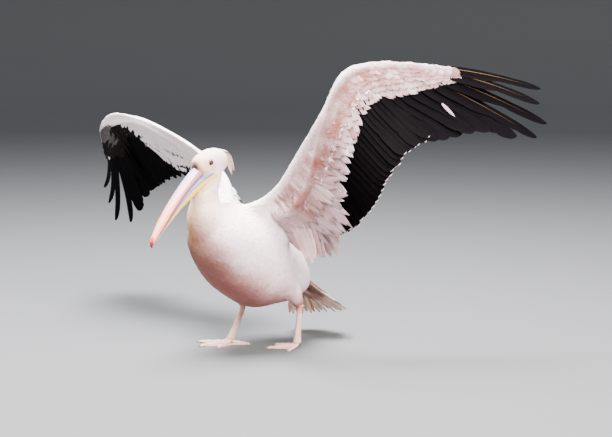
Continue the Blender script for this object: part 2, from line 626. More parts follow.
def wing_colour(side, station, chord, under, points):
    """Colour of the white wing feathers at a place on the wing."""
    cloud = mottled(points, 45, 11)
    fine = mottled(points, 14, 12)
    colour = np.tile(linear("#fbf0f2")[:3], (len(points), 1))
    inward = np.clip(1 - station / 0.75, 0, 1)
    colour = dyed(colour, "#f4cfcd", 0.15 + 0.2 * inward + 0.1 * cloud)
    if not under:
        return dyed(colour, "#efe4e2", 0.2 + 0.15 * fine)
    if side == "right":
        # The hand and the ends of the lining are sooty, with the white kept to the front.
        white_to = np.interp(station, LINING_STATIONS, LINING_CHORDS)
        return dyed(colour, "#0c0807", np.clip((chord - white_to) / 0.05, 0, 1) * (0.96 + 0.03 * fine))
    dusk = 0.78 - 0.12 * np.clip(1 - station * 4, 0, 1) + 0.14 * cloud + 0.08 * fine
    colour = dyed(colour, "#84504c", dusk)
    stain = np.exp(-((chord - 0.50 + 0.16 * station) / 0.19) ** 2) * np.clip(station * 6, 0, 1)
    stain *= np.clip((1.02 - station) * 4, 0, 1)
    colour = dyed(colour, "#8a3c20", stain * (0.50 + 0.26 * cloud + 0.26 * fine))
    colour = dyed(colour, "#b090a2", np.clip((chord - 0.8) / 0.2, 0, 1) * 0.6)
    return dyed(colour, "#f6ecec", np.exp(-(np.maximum(chord, 0) / 0.07) ** 2) * 0.85)


def in_body(points):
    """Row metres back to body millimetres."""
    return np.asarray(points) * 1000 - BODY_SHIFT


# Where a point of the hide belongs on a wing, if it does.
STATIONS = np.linspace(-0.02, 1.02, 131)
CHORDS = np.linspace(-0.06, 1.0, 36)
wing_grid = {
    side: np.stack([wing_point(side, STATIONS, np.full(len(STATIONS), c)) for c in CHORDS], 1)
    for side in FRONT
}


def on_wing(side, points):
    """Station, chord and distance of the nearest place on a wing's middle surface."""
    flat = wing_grid[side].reshape(-1, 3)
    station, chord, gap = np.empty((3, len(points)))
    batch = 2000  # points compared at once, to spare memory
    for start in range(0, len(points), batch):
        part = points[start:start + batch]
        squares = (part**2).sum(1)[:, None] + (flat**2).sum(1)[None] - 2 * part @ flat.T
        best = squares.argmin(1)
        station[start:start + batch] = STATIONS[best // len(CHORDS)]
        chord[start:start + batch] = CHORDS[best % len(CHORDS)]
        gap[start:start + batch] = np.sqrt(np.maximum(squares[np.arange(len(part)), best], 0))
    return station, chord, gap


def wing_frame(side, station):
    """Spanwise, backward and upper-side directions of a wing, with its span and chord lengths."""
    station = np.asarray(station, float)
    half_way = np.full(station.shape, 0.5)
    step = wing_point(side, station + 0.01, half_way) - wing_point(side, station, half_way)
    back = wing_point(side, station, np.full(station.shape, 1.0)) - wing_point(
        side, station, np.zeros(station.shape))
    deep = np.linalg.norm(back, axis=-1)
    back = unit(back)
    span = np.linalg.norm(step, axis=-1) / 0.01
    out = unit(step - (step * back).sum(-1, keepdims=True) * back)
    upper = np.cross(out, back) * (1 if side == "left" else -1)
    return out, back, upper, span, deep


def sweep_angle(station):
    """How far the wing's small feathers lean towards the tip, in radians."""
    return np.radians(np.interp(station, (0, 0.35, 0.6, 0.8, 1.0), (22, 24, 32, 52, 76)))


# ---- The hide --------------------------------------------------------------
# Skin of the whole bird in one piece with its eyelids and legs: rosy under the
# feathers, bare and warm yellow-pink round the eyes, flesh-pink and scaly on the
# legs and webs.


def bare_face(points):
    """How bare the face is at row points: 1 round the eye and behind the bill, 0 in the feathers."""
    f, l, u = in_head(points).T
    oval = 1.15 - ((f - 46) / 37) ** 2 - ((u + 4 + 0.12 * (f - 46)) / 24) ** 2
    along, drop = in_bill(points)[:2]
    cheek = 1.4 - ((along + 0.04) / 0.13) ** 2 - ((drop - 40) / 15) ** 2
    sides = (np.abs(l) - np.interp(f, (20, 45, 72), (14, 10, 5))) / 3
    return np.clip(np.maximum(oval, cheek) * 2.6, 0, 1) * np.clip(sides, 0, 1) * (
        np.linalg.norm([f, l, u], axis=0) < 100)


def leg_colour(points):
    """Colour of the bare legs at body-millimetre points."""
    colour = np.tile(linear("#fbdccb")[:3], (len(points), 1))
    colour = dyed(colour, "#d9957c", 0.25 + 0.2 * mottled(points, 16, 21))
    up = points[:, 2]
    colour = dyed(colour, "#d8741a", np.clip((up - 108) / 12, 0, 1) * (0.55 + 0.45 * np.sin(up * 0.75)))
    colour = dyed(colour, "#b4694a", np.clip(np.sin(up * 0.62) - 0.2, 0, 1) * 0.6
                  * np.clip((up - 98) / 20, 0, 1))
    web = np.clip((7 - up) / 5, 0, 1)
    colour = dyed(colour, "#f0d0bf", web * 0.5)
    return dyed(colour, "#cf957f", np.clip(mottled(points, 7, 22) - 0.3, 0, 1) * 0.35)


def tint(thing, name, colours):
    """Stores one linear colour for each vertex of a piece."""
    layer = thing.data.attributes.new(name, "FLOAT_COLOR", "POINT")
    rgba = np.ones((len(colours), 4), np.float32)
    rgba[:, :3] = np.clip(colours, 0, 1)
    layer.data.foreach_set("color", rgba.ravel())


# Living skin: soft and slightly greasy, with fine creases about 2 mm apart.
hide_material = new_material("bird_skin")
hide_tint = add(hide_material, "Attribute", attribute_name="Tint")
hide_place = add(hide_material, "TexCoord")
blush = add(hide_material, "TexNoise", {"Vector": hide_place.outputs["Object"], "Scale": 90.0,
        "Detail": 4.0})
blush_share = add(hide_material, "MapRange", {"Value": blush.outputs["Fac"], "From Min": 0.45,
        "From Max": 0.8, "To Max": 0.28})
blush_mix = add(hide_material, "Mix", {0: blush_share.outputs[0], 6: hide_tint.outputs["Color"],
        7: linear("#dba593")}, data_type="RGBA")
crease = add(hide_material, "TexVoronoi", {"Vector": hide_place.outputs["Object"], "Scale": 520.0},
             feature="DISTANCE_TO_EDGE")
crease_bump = add(hide_material, "Bump", {"Height": crease.outputs["Distance"], "Strength": 0.35,
        "Distance": 0.0006})
finish_material(hide_material, add(hide_material, "BsdfPrincipled", {
    "Base Color": blush_mix.outputs[2], "Roughness": 0.55, "Specular IOR Level": 0.35,
    "Normal": crease_bump.outputs[0],
}))

# Scaly leg skin: small rounded plates about 2.5 mm across with paler joints.
leg_material = new_material("scaled_leg_skin")
leg_tint = add(leg_material, "Attribute", attribute_name="Tint")
leg_place = add(leg_material, "TexCoord")
plates = add(leg_material, "TexVoronoi", {"Vector": leg_place.outputs["Object"], "Scale": 400.0},
             feature="DISTANCE_TO_EDGE")
plate_share = add(leg_material, "MapRange", {"Value": plates.outputs["Distance"],
        "From Max": 0.22})
joint_mix = add(leg_material, "Mix", {0: plate_share.outputs[0], 6: linear("#b9796a"),
        7: leg_tint.outputs["Color"]}, data_type="RGBA")
joint_keep = add(leg_material, "Mix", {0: 0.55, 6: leg_tint.outputs["Color"],
        7: joint_mix.outputs[2]}, data_type="RGBA")
leg_bump = add(leg_material, "Bump", {"Height": plate_share.outputs[0], "Strength": 0.6,
        "Distance": 0.0007})
finish_material(leg_material, add(leg_material, "BsdfPrincipled", {
    "Base Color": joint_keep.outputs[2], "Roughness": 0.5, "Specular IOR Level": 0.4,
    "Normal": leg_bump.outputs[0],
}))

skin = piece("skin", all_verts, all_faces, [hide_material, leg_material])
slots = np.zeros(len(all_faces), int)
slots[count_hide + count_lid:] = 1
skin.data.polygons.foreach_set("material_index", slots)

hide_mm = in_body(all_verts)
hide_tints = plumage_colour(hide_mm)
hide_wing = {side: on_wing(side, hide_mm) for side in FRONT}
for side, (station, chord, gap) in hide_wing.items():
    normal_way = wing_frame(side, station)[2]
    middle = wing_point(side, station, chord)
    under = ((hide_mm - middle) * normal_way).sum(1) < 0
    share = np.clip((station - 0.05) / 0.1, 0, 1) * np.clip((34 - gap) / 10, 0, 1)
    for below in (True, False):
        dyes = wing_colour(side, station, chord, below, hide_mm)
        here = (share * (under == below))[:, None]
        hide_tints = hide_tints + (dyes - hide_tints) * here
bare = bare_face(all_verts)
face_dye = dyed(np.tile(linear("#fddfc6")[:3], (len(bare), 1)), "#f09a80",
                0.3 + 0.25 * mottled(hide_mm, 13, 31))
face_dye = dyed(face_dye, "#fbd88c", np.clip((in_head(all_verts)[:, 0] - 36) / 26, 0, 1) * 0.35)
# The gape: the lilac edge of the lower bill and the yellow pouch run back under the eye.
along, drop, _ = in_bill(all_verts)
gape_drop = np.interp(along, (-0.2, -0.115, -0.04, 0.03), (40.0, 33.5, 27.5, 20.0))
behind = np.clip((along + 0.15) / 0.03, 0, 1) * (along < 0.2)
face_dye = dyed(face_dye, "#f0cc34", np.clip(1.5 - np.abs(drop - gape_drop - 11.5) / 5.5, 0, 1) * behind)
face_dye = dyed(face_dye, "#9592bc", np.clip(1.5 - np.abs(drop - gape_drop - 1.0) / 3.6, 0, 1) * behind)
hide_tints = hide_tints + (face_dye - hide_tints) * bare[:, None]
hide_tints = dyed(hide_tints, "#3a0c08", grease_line(hide_mm) * 0.95)
first_lid, first_leg = len(hide_verts), len(hide_verts) + len(lid_verts)
hide_tints[first_lid:first_leg] = linear("#8a5044")[:3]
hide_tints[first_leg:] = leg_colour(hide_mm[first_leg:])
tint(skin, "Tint", hide_tints)

bpy.context.view_layer.objects.active = skin
skin.select_set(True)
skin.data.uv_layers.new(name="OFBake")
bpy.ops.object.mode_set(mode="EDIT")
bpy.ops.mesh.select_all(action="SELECT")
bpy.ops.uv.smart_project(angle_limit=math.radians(66), island_margin=0.002)
bpy.ops.object.mode_set(mode="OBJECT")
skin.select_set(False)
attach(skin, "root")
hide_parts("trunk", "neck_lower", "neck_upper", "head", "thigh_left", "thigh_right",
            "shank_left", "shank_right", "foot_left", "foot_right", "upper_arm_left",
            "upper_arm_right", "forearm_left", "forearm_right", "hand_left", "hand_right")

# ---- Body feathers ---------------------------------------------------------
# Small contour feathers rooted in the hide and combed along it: broad and
# rounded on the trunk, narrow on the neck, hair-like on the head, and the little
# coverts of the wings. Each is a thin closed vane with a low ridge for its shaft.

hide_tree = BVHTree.FromPolygons(all_verts[:first_lid].tolist(), hide_faces)
chance = np.random.default_rng(11)


def hide_triangles():
    """Corner places, areas and normals of the hide's triangles, legs and lids left out."""
    corners = []
    for face in hide_faces:
        for k in range(1, len(face) - 1):
            corners.append((face[0], face[k], face[k + 1]))
    a, b, c = (all_verts[np.array(corners)[:, k]] for k in range(3))
    normal = np.cross(b - a, c - a)
    size = np.linalg.norm(normal, axis=1)
    return a, b, c, size / 2, normal / np.maximum(size, 1e-12)[:, None]


def scatter(count):
    """Random points over the hide with its normal at each."""
    a, b, c, area, normal = hide_triangles()
    pick = chance.choice(len(area), count, p=area / area.sum())
    r, s = np.sqrt(chance.random(count))[:, None], chance.random(count)[:, None]
    return a[pick] * (1 - r) + b[pick] * r * (1 - s) + c[pick] * r * s, normal[pick]


def thinned(points, spacing):
    """Keeps points that have no kept neighbour nearer than their own spacing, in millimetres."""
    cell = 10.0  # wider than any spacing
    spots = points.tolist()
    keys = np.floor(points / cell).astype(int).tolist()
    steps = [(x, y, z) for x in (-1, 0, 1) for y in (-1, 0, 1) for z in (-1, 0, 1)]
    kept, grid = [], {}
    for i, ((x, y, z), (u, v, w), room) in enumerate(zip(spots, keys, spacing.tolist())):
        near = (p for a, b, c in steps for p in grid.get((u + a, v + b, w + c), ()))
        if all((x - p[0]) * (x - p[0]) + (y - p[1]) * (y - p[1]) + (z - p[2]) * (z - p[2])
               >= room * room for p in near):
            kept.append(i)
            grid.setdefault((u, v, w), []).append(spots[i])
    return np.array(kept)


# Height of a feather over the skin from root to tip: the tip curls back down on its neighbours.
TIP_CURL = (0, 0.6, 0.92, 1.0, 0.72)


def combed(roots, normals, ways, lengths, rises, steps):
    """Spines of feathers laid along the hide: each step is snapped back to the skin."""
    count = len(roots)
    spines = np.empty((count, steps + 1, 3))
    ups = np.empty((count, steps + 1, 3))
    for i in range(count):
        spot, normal = Vector(roots[i]), Vector(normals[i])
        way = Vector(ways[i])
        stride = lengths[i] / steps
        spines[i, 0] = spot - normal * 0.0006
        ups[i, 0] = normal
        for k in range(1, steps + 1):
            way = (way - normal * way.dot(normal)).normalized()
            hit, hit_normal, _, _ = hide_tree.find_nearest(spot + way * stride)
            if (hit - spot).length < 0.35 * stride or hit_normal.dot(normal) < 0.2:
                hit, hit_normal = spot + way * stride, normal
            spot, normal = hit, (normal * 0.5 + hit_normal * 0.5).normalized()
            spines[i, k] = spot + normal * rises[i] * TIP_CURL[k]
            ups[i, k] = normal
    return spines, ups


def vanes(spines, ups, widths, outline, thick=0.00018, arch=0.04):
    """Closed leaf-shaped vanes along spines: vertices, quads and where each vertex lies on its vane."""
    count, rows, _ = spines.shape
    ahead = unit(np.gradient(spines, axis=1))
    across = unit(np.cross(ahead, ups))
    half = 0.5 * widths[:, None] * np.asarray(outline)[None, :]
    drop = arch * half[..., None] * ups
    ridge = ups * (thick * np.linspace(1.6, 0.8, rows))[None, :, None]
    ring = np.stack([
        spines - across * half[..., None] - drop,
        spines + ridge,
        spines + across * half[..., None] - drop,
        spines - ridge * 0.6,
    ], 2)
    a = np.arange(count * rows * 4).reshape(count, rows, 4)
    b = np.roll(a, -1, axis=2)
    walls = np.stack([a[:, :-1], b[:, :-1], b[:, 1:], a[:, 1:]], -1).reshape(-1, 4)
    caps = np.concatenate([a[:, 0, ::-1], a[:, -1]])
    q = np.tile([0.0, 0.5, 1.0, 0.5], (count, rows, 1))
    t = np.broadcast_to(np.linspace(0, 1, rows)[None, :, None], (count, rows, 4))
    return ring.reshape(-1, 3), np.vstack([walls, caps]), np.stack([q, t], -1).reshape(-1, 2)


def lay_map(thing, name, places):
    """A UV map from one place for each vertex."""
    layer = thing.data.uv_layers.new(name=name, do_init=False)
    corner = np.empty(len(thing.data.loops), int)
    thing.data.loops.foreach_get("vertex_index", corner)
    layer.uv.foreach_set("vector", places[corner].astype(np.float32).ravel())


skin.data.calc_loop_triangles()
skin_map = np.empty(len(skin.data.loops) * 2, np.float32)
skin.data.uv_layers["OFBake"].uv.foreach_get("vector", skin_map)
skin_map = skin_map.reshape(-1, 2)
first_corner = np.empty(len(skin.data.polygons), int)
skin.data.polygons.foreach_get("loop_start", first_corner)


def hide_map(points):
    """Where the hide's unwrap holds the skin nearest to each point."""
    found = [hide_tree.find_nearest(Vector(p))[2] for p in points]
    return skin_map[first_corner[np.array(found)]]


def crisp_rims(thing, around, rims):
    """Keeps the shading of a thin blade's two faces apart along its rims; around is the number
    of corners in each of its rings."""
    ends = np.empty(len(thing.data.edges) * 2, int)
    thing.data.edges.foreach_get("vertices", ends)
    ends = ends.reshape(-1, 2) % around
    sharp = (ends[:, 0] == ends[:, 1]) & np.isin(ends[:, 0], rims)
    thing.data.attributes.new("sharp_edge", "BOOLEAN", "EDGE").data.foreach_set("value", sharp)


def coat_piece(name, verts, quads, along, tints, roots, material):
    """A joined mesh of feathers, each with its tint and its small patch on the hide's unwrap."""
    coat = piece(name, verts, quads, [material])
    per_feather = len(verts) // len(roots)
    tint(coat, "Tint", np.repeat(tints, per_feather, axis=0))
    lay_map(coat, "Vane", along)
    patches = np.repeat(hide_map(roots), per_feather, axis=0)
    lay_map(coat, "OFBake", np.clip(patches + (along - 0.5) * 0.003, 0, 1))
    coat.data.uv_layers.active = coat.data.uv_layers["Vane"]
    crisp_rims(coat, 4, (0, 2))
    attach(coat, "root")
    return coat


# Contour feather: matt keratin, chalky and soft at the edges, slightly darker
# towards the root. Its barbs are too fine to show, so the down is drawn as a
# soft grain about 2.4 mm across.
plumage_material = new_material("white_contour_feather")
plume_tint = add(plumage_material, "Attribute", attribute_name="Tint")
plume_map = add(plumage_material, "UVMap", uv_map="Vane")
plume_axes = add(plumage_material, "SeparateXYZ", {0: plume_map.outputs[0]})
plume_place = add(plumage_material, "TexCoord")
plume_down = add(plumage_material, "TexNoise", {"Vector": plume_place.outputs["Object"],
        "Scale": 420.0, "Detail": 5.0, "Roughness": 0.65})
root_shade = add(plumage_material, "MapRange", {"Value": plume_axes.outputs["Y"], "From Max": 0.75,
        "To Min": 0.93, "To Max": 1.0})
down_shade = add(plumage_material, "MapRange", {"Value": plume_down.outputs["Fac"], "From Min": 0.3,
        "From Max": 0.75, "To Min": 0.95, "To Max": 1.02})
both_shades = add(plumage_material, "Math", {0: root_shade.outputs[0], 1: down_shade.outputs[0]},
                  operation="MULTIPLY")
plume_colour = add(plumage_material, "VectorMath", {0: plume_tint.outputs["Color"]},
                   operation="SCALE")
plumage_material.node_tree.links.new(both_shades.outputs[0], plume_colour.inputs["Scale"])
plume_bump = add(plumage_material, "Bump", {"Height": plume_down.outputs["Fac"], "Strength": 0.25,
        "Distance": 0.0006})
finish_material(plumage_material, add(plumage_material, "BsdfPrincipled", {
    "Base Color": plume_colour.outputs[0], "Roughness": 0.82, "Specular IOR Level": 0.18,
    "Sheen Weight": 0.12, "Sheen Roughness": 0.6, "Normal": plume_bump.outputs[0],
}))

# Relative width of a feather from root to tip.
CONTOUR = (0.5, 0.95, 1.0, 0.66, 0.10)
HAIRY = (0.7, 1.0, 0.85, 0.5, 0.1)

ROOTS_TRIED = 170000
roots, root_normals = scatter(ROOTS_TRIED)
root_mm = in_body(roots)
ways, sizes = body_lie(root_mm)
wing_share = np.zeros(len(roots))
wing_tints = {}
for side in FRONT:
    station, chord, gap = on_wing(side, root_mm)
    out, back, upper, span, deep = wing_frame(side, station)
    lean = sweep_angle(station)[:, None]
    across_wing = back * np.cos(lean) + out * np.sin(lean)
    share = np.clip((station - 0.04) / 0.1, 0, 1) * np.clip((36 - gap) / 10, 0, 1)
    ways = unit(ways * (1 - share[:, None]) + across_wing * share[:, None])
    sizes = sizes + (np.array(WING_FEATHER) - sizes) * share[:, None]
    slim = np.interp(chord, (0.0, 0.12, 0.4), (0.45, 0.7, 1.0))
    slim = slim * np.interp(station, (0.4, 1), (1, 0.75))
    sizes = sizes * (1 + (slim - 1) * share)[:, None]
    middle = wing_point(side, station, chord)
    under = ((root_mm - middle) * upper).sum(1) < 0
    dyes = np.where(under[:, None], wing_colour(side, station, chord, True, root_mm),
                    wing_colour(side, station, chord, False, root_mm))
    wing_tints[side] = (share, dyes)
    wing_share = np.maximum(wing_share, share)
tints = plumage_colour(root_mm)
for share, dyes in wing_tints.values():
    tints = tints + (dyes - tints) * share[:, None]
open_face = bare_face(roots) > 0.35
order = np.flatnonzero(~open_face)
kept = order[thinned(root_mm[order], sizes[order, 2])]

normals = unit(root_normals[kept])
jitter = chance.normal(0, 0.05, (len(kept), 3))
ways_kept = unit(ways[kept] + jitter)
scale = chance.uniform(0.9, 1.12, len(kept))
lengths = sizes[kept, 0] * scale / 1000
widths = sizes[kept, 1] * scale * chance.uniform(0.9, 1.1, len(kept)) / 1000
rises = sizes[kept, 3] * chance.uniform(0.9, 1.1, len(kept)) / 1000
spines, ups = combed(roots[kept], normals, ways_kept, lengths, rises, 4)
brightness = chance.normal(0.99, 0.035, (len(kept), 1))
feather_tints = tints[kept] * brightness
groups = {
    "head_feathers": (wing_share[kept] < 0.5) & (sizes[kept, 0] < 11.0) & (root_mm[kept, 2] > 400),
    "wing_feathers_left": (wing_share[kept] >= 0.5) & (root_mm[kept, 0] > 0),
    "wing_feathers_right": (wing_share[kept] >= 0.5) & (root_mm[kept, 0] <= 0),
}
rest = ~(groups["head_feathers"] | groups["wing_feathers_left"] | groups["wing_feathers_right"])
groups["neck_feathers"] = rest & (root_mm[kept, 2] > 400)
rest &= ~groups["neck_feathers"]
groups["breast_feathers"] = rest & (root_mm[kept, 1] < 0)
groups["back_and_belly_feathers"] = rest & (root_mm[kept, 1] >= 0)
for name, members in groups.items():
    chosen = np.flatnonzero(members)
    outline = HAIRY if name in ("head_feathers", "neck_feathers") else CONTOUR
    verts, quads, along = vanes(spines[chosen], ups[chosen], widths[chosen], outline)
    coat_piece(name, verts, quads, along, feather_tints[chosen], roots[kept][chosen],
               plumage_material)

# ---- Flight feathers -------------------------------------------------------
# Ten black primaries on the hand, twenty-six black secondaries on the forearm
# and fourteen white tertials by the body, on each wing. Each is one stiff curved
# blade: a shaft with a narrow vane in front and a wide one behind.

PRIMARY_TIPS = {
    "left": [
        (830, 368, 824), (835, 357, 782), (840, 386, 724), (820, 367, 684), (780, 325, 687),
        (730, 273, 707), (700, 237, 704), (670, 211, 693), (648, 182, 684), (628, 160, 680),
    ],
    "right": [
        (-1084, 258, 414), (-1090, 283, 353), (-1073, 300, 286), (-1031, 339, 279),
        (-969, 334, 328), (-919, 324, 385), (-875, 315, 413), (-842, 304, 424),
        (-806, 296, 435), (-774, 282, 444),
    ],
}
# Width, station of the root on the hand, how near it lies to the front edge,
# and how far the blade bends, millimetres; outermost first.
PRIMARIES = [
    (27, 0.985, 0.72, 20), (31, 0.975, 0.55, 24), (35, 0.96, 0.42, 20), (38, 0.94, 0.32, 16),
    (43, 0.92, 0.26, 12), (46, 0.895, 0.2, 9), (48, 0.87, 0.16, 7), (48, 0.84, 0.14, 6),
    (47, 0.81, 0.12, 5), (46, 0.782, 0.1, 4),
]
SECONDARY_TIPS = {
    "left": [
        (383, 15, 390), (442, 18, 424), (505, 36, 500), (546, 47, 583), (579, 79, 639),
        (616, 149, 689),
    ],
    "right": [
        (-385, 285, 430), (-470, 276, 455), (-540, 262, 478), (-600, 255, 488),
        (-680, 258, 470), (-765, 254, 438),
    ],
}
TERTIAL_TIPS = {
    "left": [(151, 79, 319), (267, 15, 307), (308, 50, 313), (378, 18, 386)],
    "right": [(-118, 62, 352), (-196, 146, 404), (-300, 222, 428), (-385, 278, 436)],
}
SECONDARY_COUNT, TERTIAL_COUNT = 26, 14
SECONDARY_FROM, SECONDARY_TO = 0.255, 0.775  # stations of the forearm that carry them
TWIST = math.radians(6)  # each blade's front edge is tipped up over its neighbour
BLADE_CURL = 0.10  # how far its rims bend down, as a share of its half width
BLADE_ROWS = 26
BLADE_COLUMNS = (-1.0, -0.86, -0.55, -0.2, 0.0, 0.2, 0.55, 0.86, 1.0)


def blade(spine, forward, upper, lead, trail, shaft):
    """One feather: spine points, unit vectors to its front edge and upper side, half widths
    in front and behind and shaft radius at each point. Lengths in millimetres."""
    rows = len(spine)
    q = np.array(BLADE_COLUMNS)
    wide = np.where(q[None] > 0, lead[:, None], trail[:, None]) * np.abs(q)[None]
    x = np.sign(q)[None] * wide
    core = shaft[:, None] * np.array([0, 0, 0, 0.22, 1.0, 0.22, 0, 0, 0])[None]
    vane_thick = 0.35
    sag = -BLADE_CURL * wide * np.abs(q)[None]
    top = (spine[:, None] + forward[:, None] * x[..., None]
           + upper[:, None] * (sag + vane_thick + core)[..., None])
    low = (spine[:, None] + forward[:, None] * x[..., None]
           + upper[:, None] * (sag - vane_thick - core)[..., None])
    ring = np.concatenate([top, low[:, ::-1]], 1)
    count = ring.shape[1]
    a = np.arange(rows * count).reshape(rows, count)
    b = np.roll(a, -1, axis=1)
    walls = np.stack([a[:-1], b[:-1], b[1:], a[1:]], -1).reshape(-1, 4).tolist()
    half = count // 2
    for end, flip in ((0, True), (rows - 1, False)):
        for k in range(half - 1):
            cap = [a[end, k], a[end, k + 1], a[end, count - 2 - k], a[end, count - 1 - k]]
            walls.append(cap[::-1] if flip else cap)
    share = np.concatenate([q, q[::-1]])
    step = np.linalg.norm(np.diff(spine, axis=0), axis=1)
    run = np.concatenate([[0], np.cumsum(step)])
    along = np.stack(np.broadcast_arrays(0.5 + 0.5 * share[None], (run / run[-1])[:, None]), -1)
    real = np.stack([np.concatenate([x, x[:, ::-1]], 1), np.repeat(run[:, None], count, 1)], -1)
    return ring.reshape(-1, 3), walls, along.reshape(-1, 2), real.reshape(-1, 2)


def blade_outline(t, full, base, tip_from, tip_power):
    """Relative width of a vane at shares t: widening from the base, then rounding off to the tip."""
    grow = base + (1 - base) * np.clip(t / full, 0, 1) ** 0.8
    fall = np.clip((t - tip_from) / (1 - tip_from), 0, 1)
    return grow * np.maximum(1 - fall**tip_power, 0.0) ** 0.5


def feather_rows():
    """Shares along a blade, closer together towards the tip."""
    u = np.linspace(0, 1, BLADE_ROWS)
    return 1 - (1 - u) ** 1.35


def notched(width, t, source, splits=2):
    """Small splits where barbs have parted."""
    width = width.copy()
    for _ in range(splits):
        at = source.uniform(0.35, 0.95)
        width *= 1 - source.uniform(0.05, 0.16) * np.exp(-((t - at) / 0.018) ** 2)
    return width


def bent(root, knee, tip, t):
    """A quadratic curve from root to tip drawn towards knee."""
    t = t[:, None]
    return root * (1 - t) ** 2 + 2 * knee * t * (1 - t) + tip * t**2


def laid_blade(spine, forward_hint, upper_hint, lead, trail, shaft, twist=TWIST):
    """A blade whose vanes are square to its spine and tipped by the twist."""
    ahead = unit(np.gradient(spine, axis=0))
    upper = unit(upper_hint - (ahead * upper_hint).sum(1, keepdims=True) * ahead)
    forward = np.cross(upper, ahead)
    if (forward * forward_hint).sum() < 0:
        forward = -forward
    c, s = math.cos(twist), math.sin(twist)
    return blade(spine, forward * c + upper * s, upper * c - forward * s, lead, trail, shaft)


def blades_piece(name, blades, tints, fringes, shafts, material):
    """Joins blades into one mesh with its maps, tint, white fringe and show of pale shaft."""
    verts, faces = gather([(b[0], b[1]) for b in blades])
    thing = piece(name, place(verts), faces, [material])
    tint(thing, "Tint", np.vstack([np.tile(c, (len(b[0]), 1)) for b, c in zip(blades, tints)]))
    for label, shares in (("Fringe", fringes), ("Shaft", shafts)):
        share = np.concatenate([np.full(len(b[0]), f, np.float32) for b, f in zip(blades, shares)])
        thing.data.attributes.new(label, "FLOAT", "POINT").data.foreach_set("value", share)
    lay_map(thing, "Vane", np.vstack([b[2] for b in blades]))
    lay_map(thing, "Barbs", np.vstack([b[3] for b in blades]) / 1000)
    columns = math.ceil(math.sqrt(len(blades)))
    cells = []
    for k, b in enumerate(blades):
        corner = np.array([k % columns, k // columns]) / columns
        cells.append(corner + (0.04 + 0.92 * b[2]) / columns)
    lay_map(thing, "OFBake", np.vstack(cells))
    thing.data.uv_layers.active = thing.data.uv_layers["Vane"]
    crisp_rims(thing, 18, (0, 8, 9, 17))
    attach(thing, "root")
    return thing


# Real barbs are about 0.3 mm apart; they are drawn at 1.6 mm so that they show.
BARB_SPACING = 0.0016


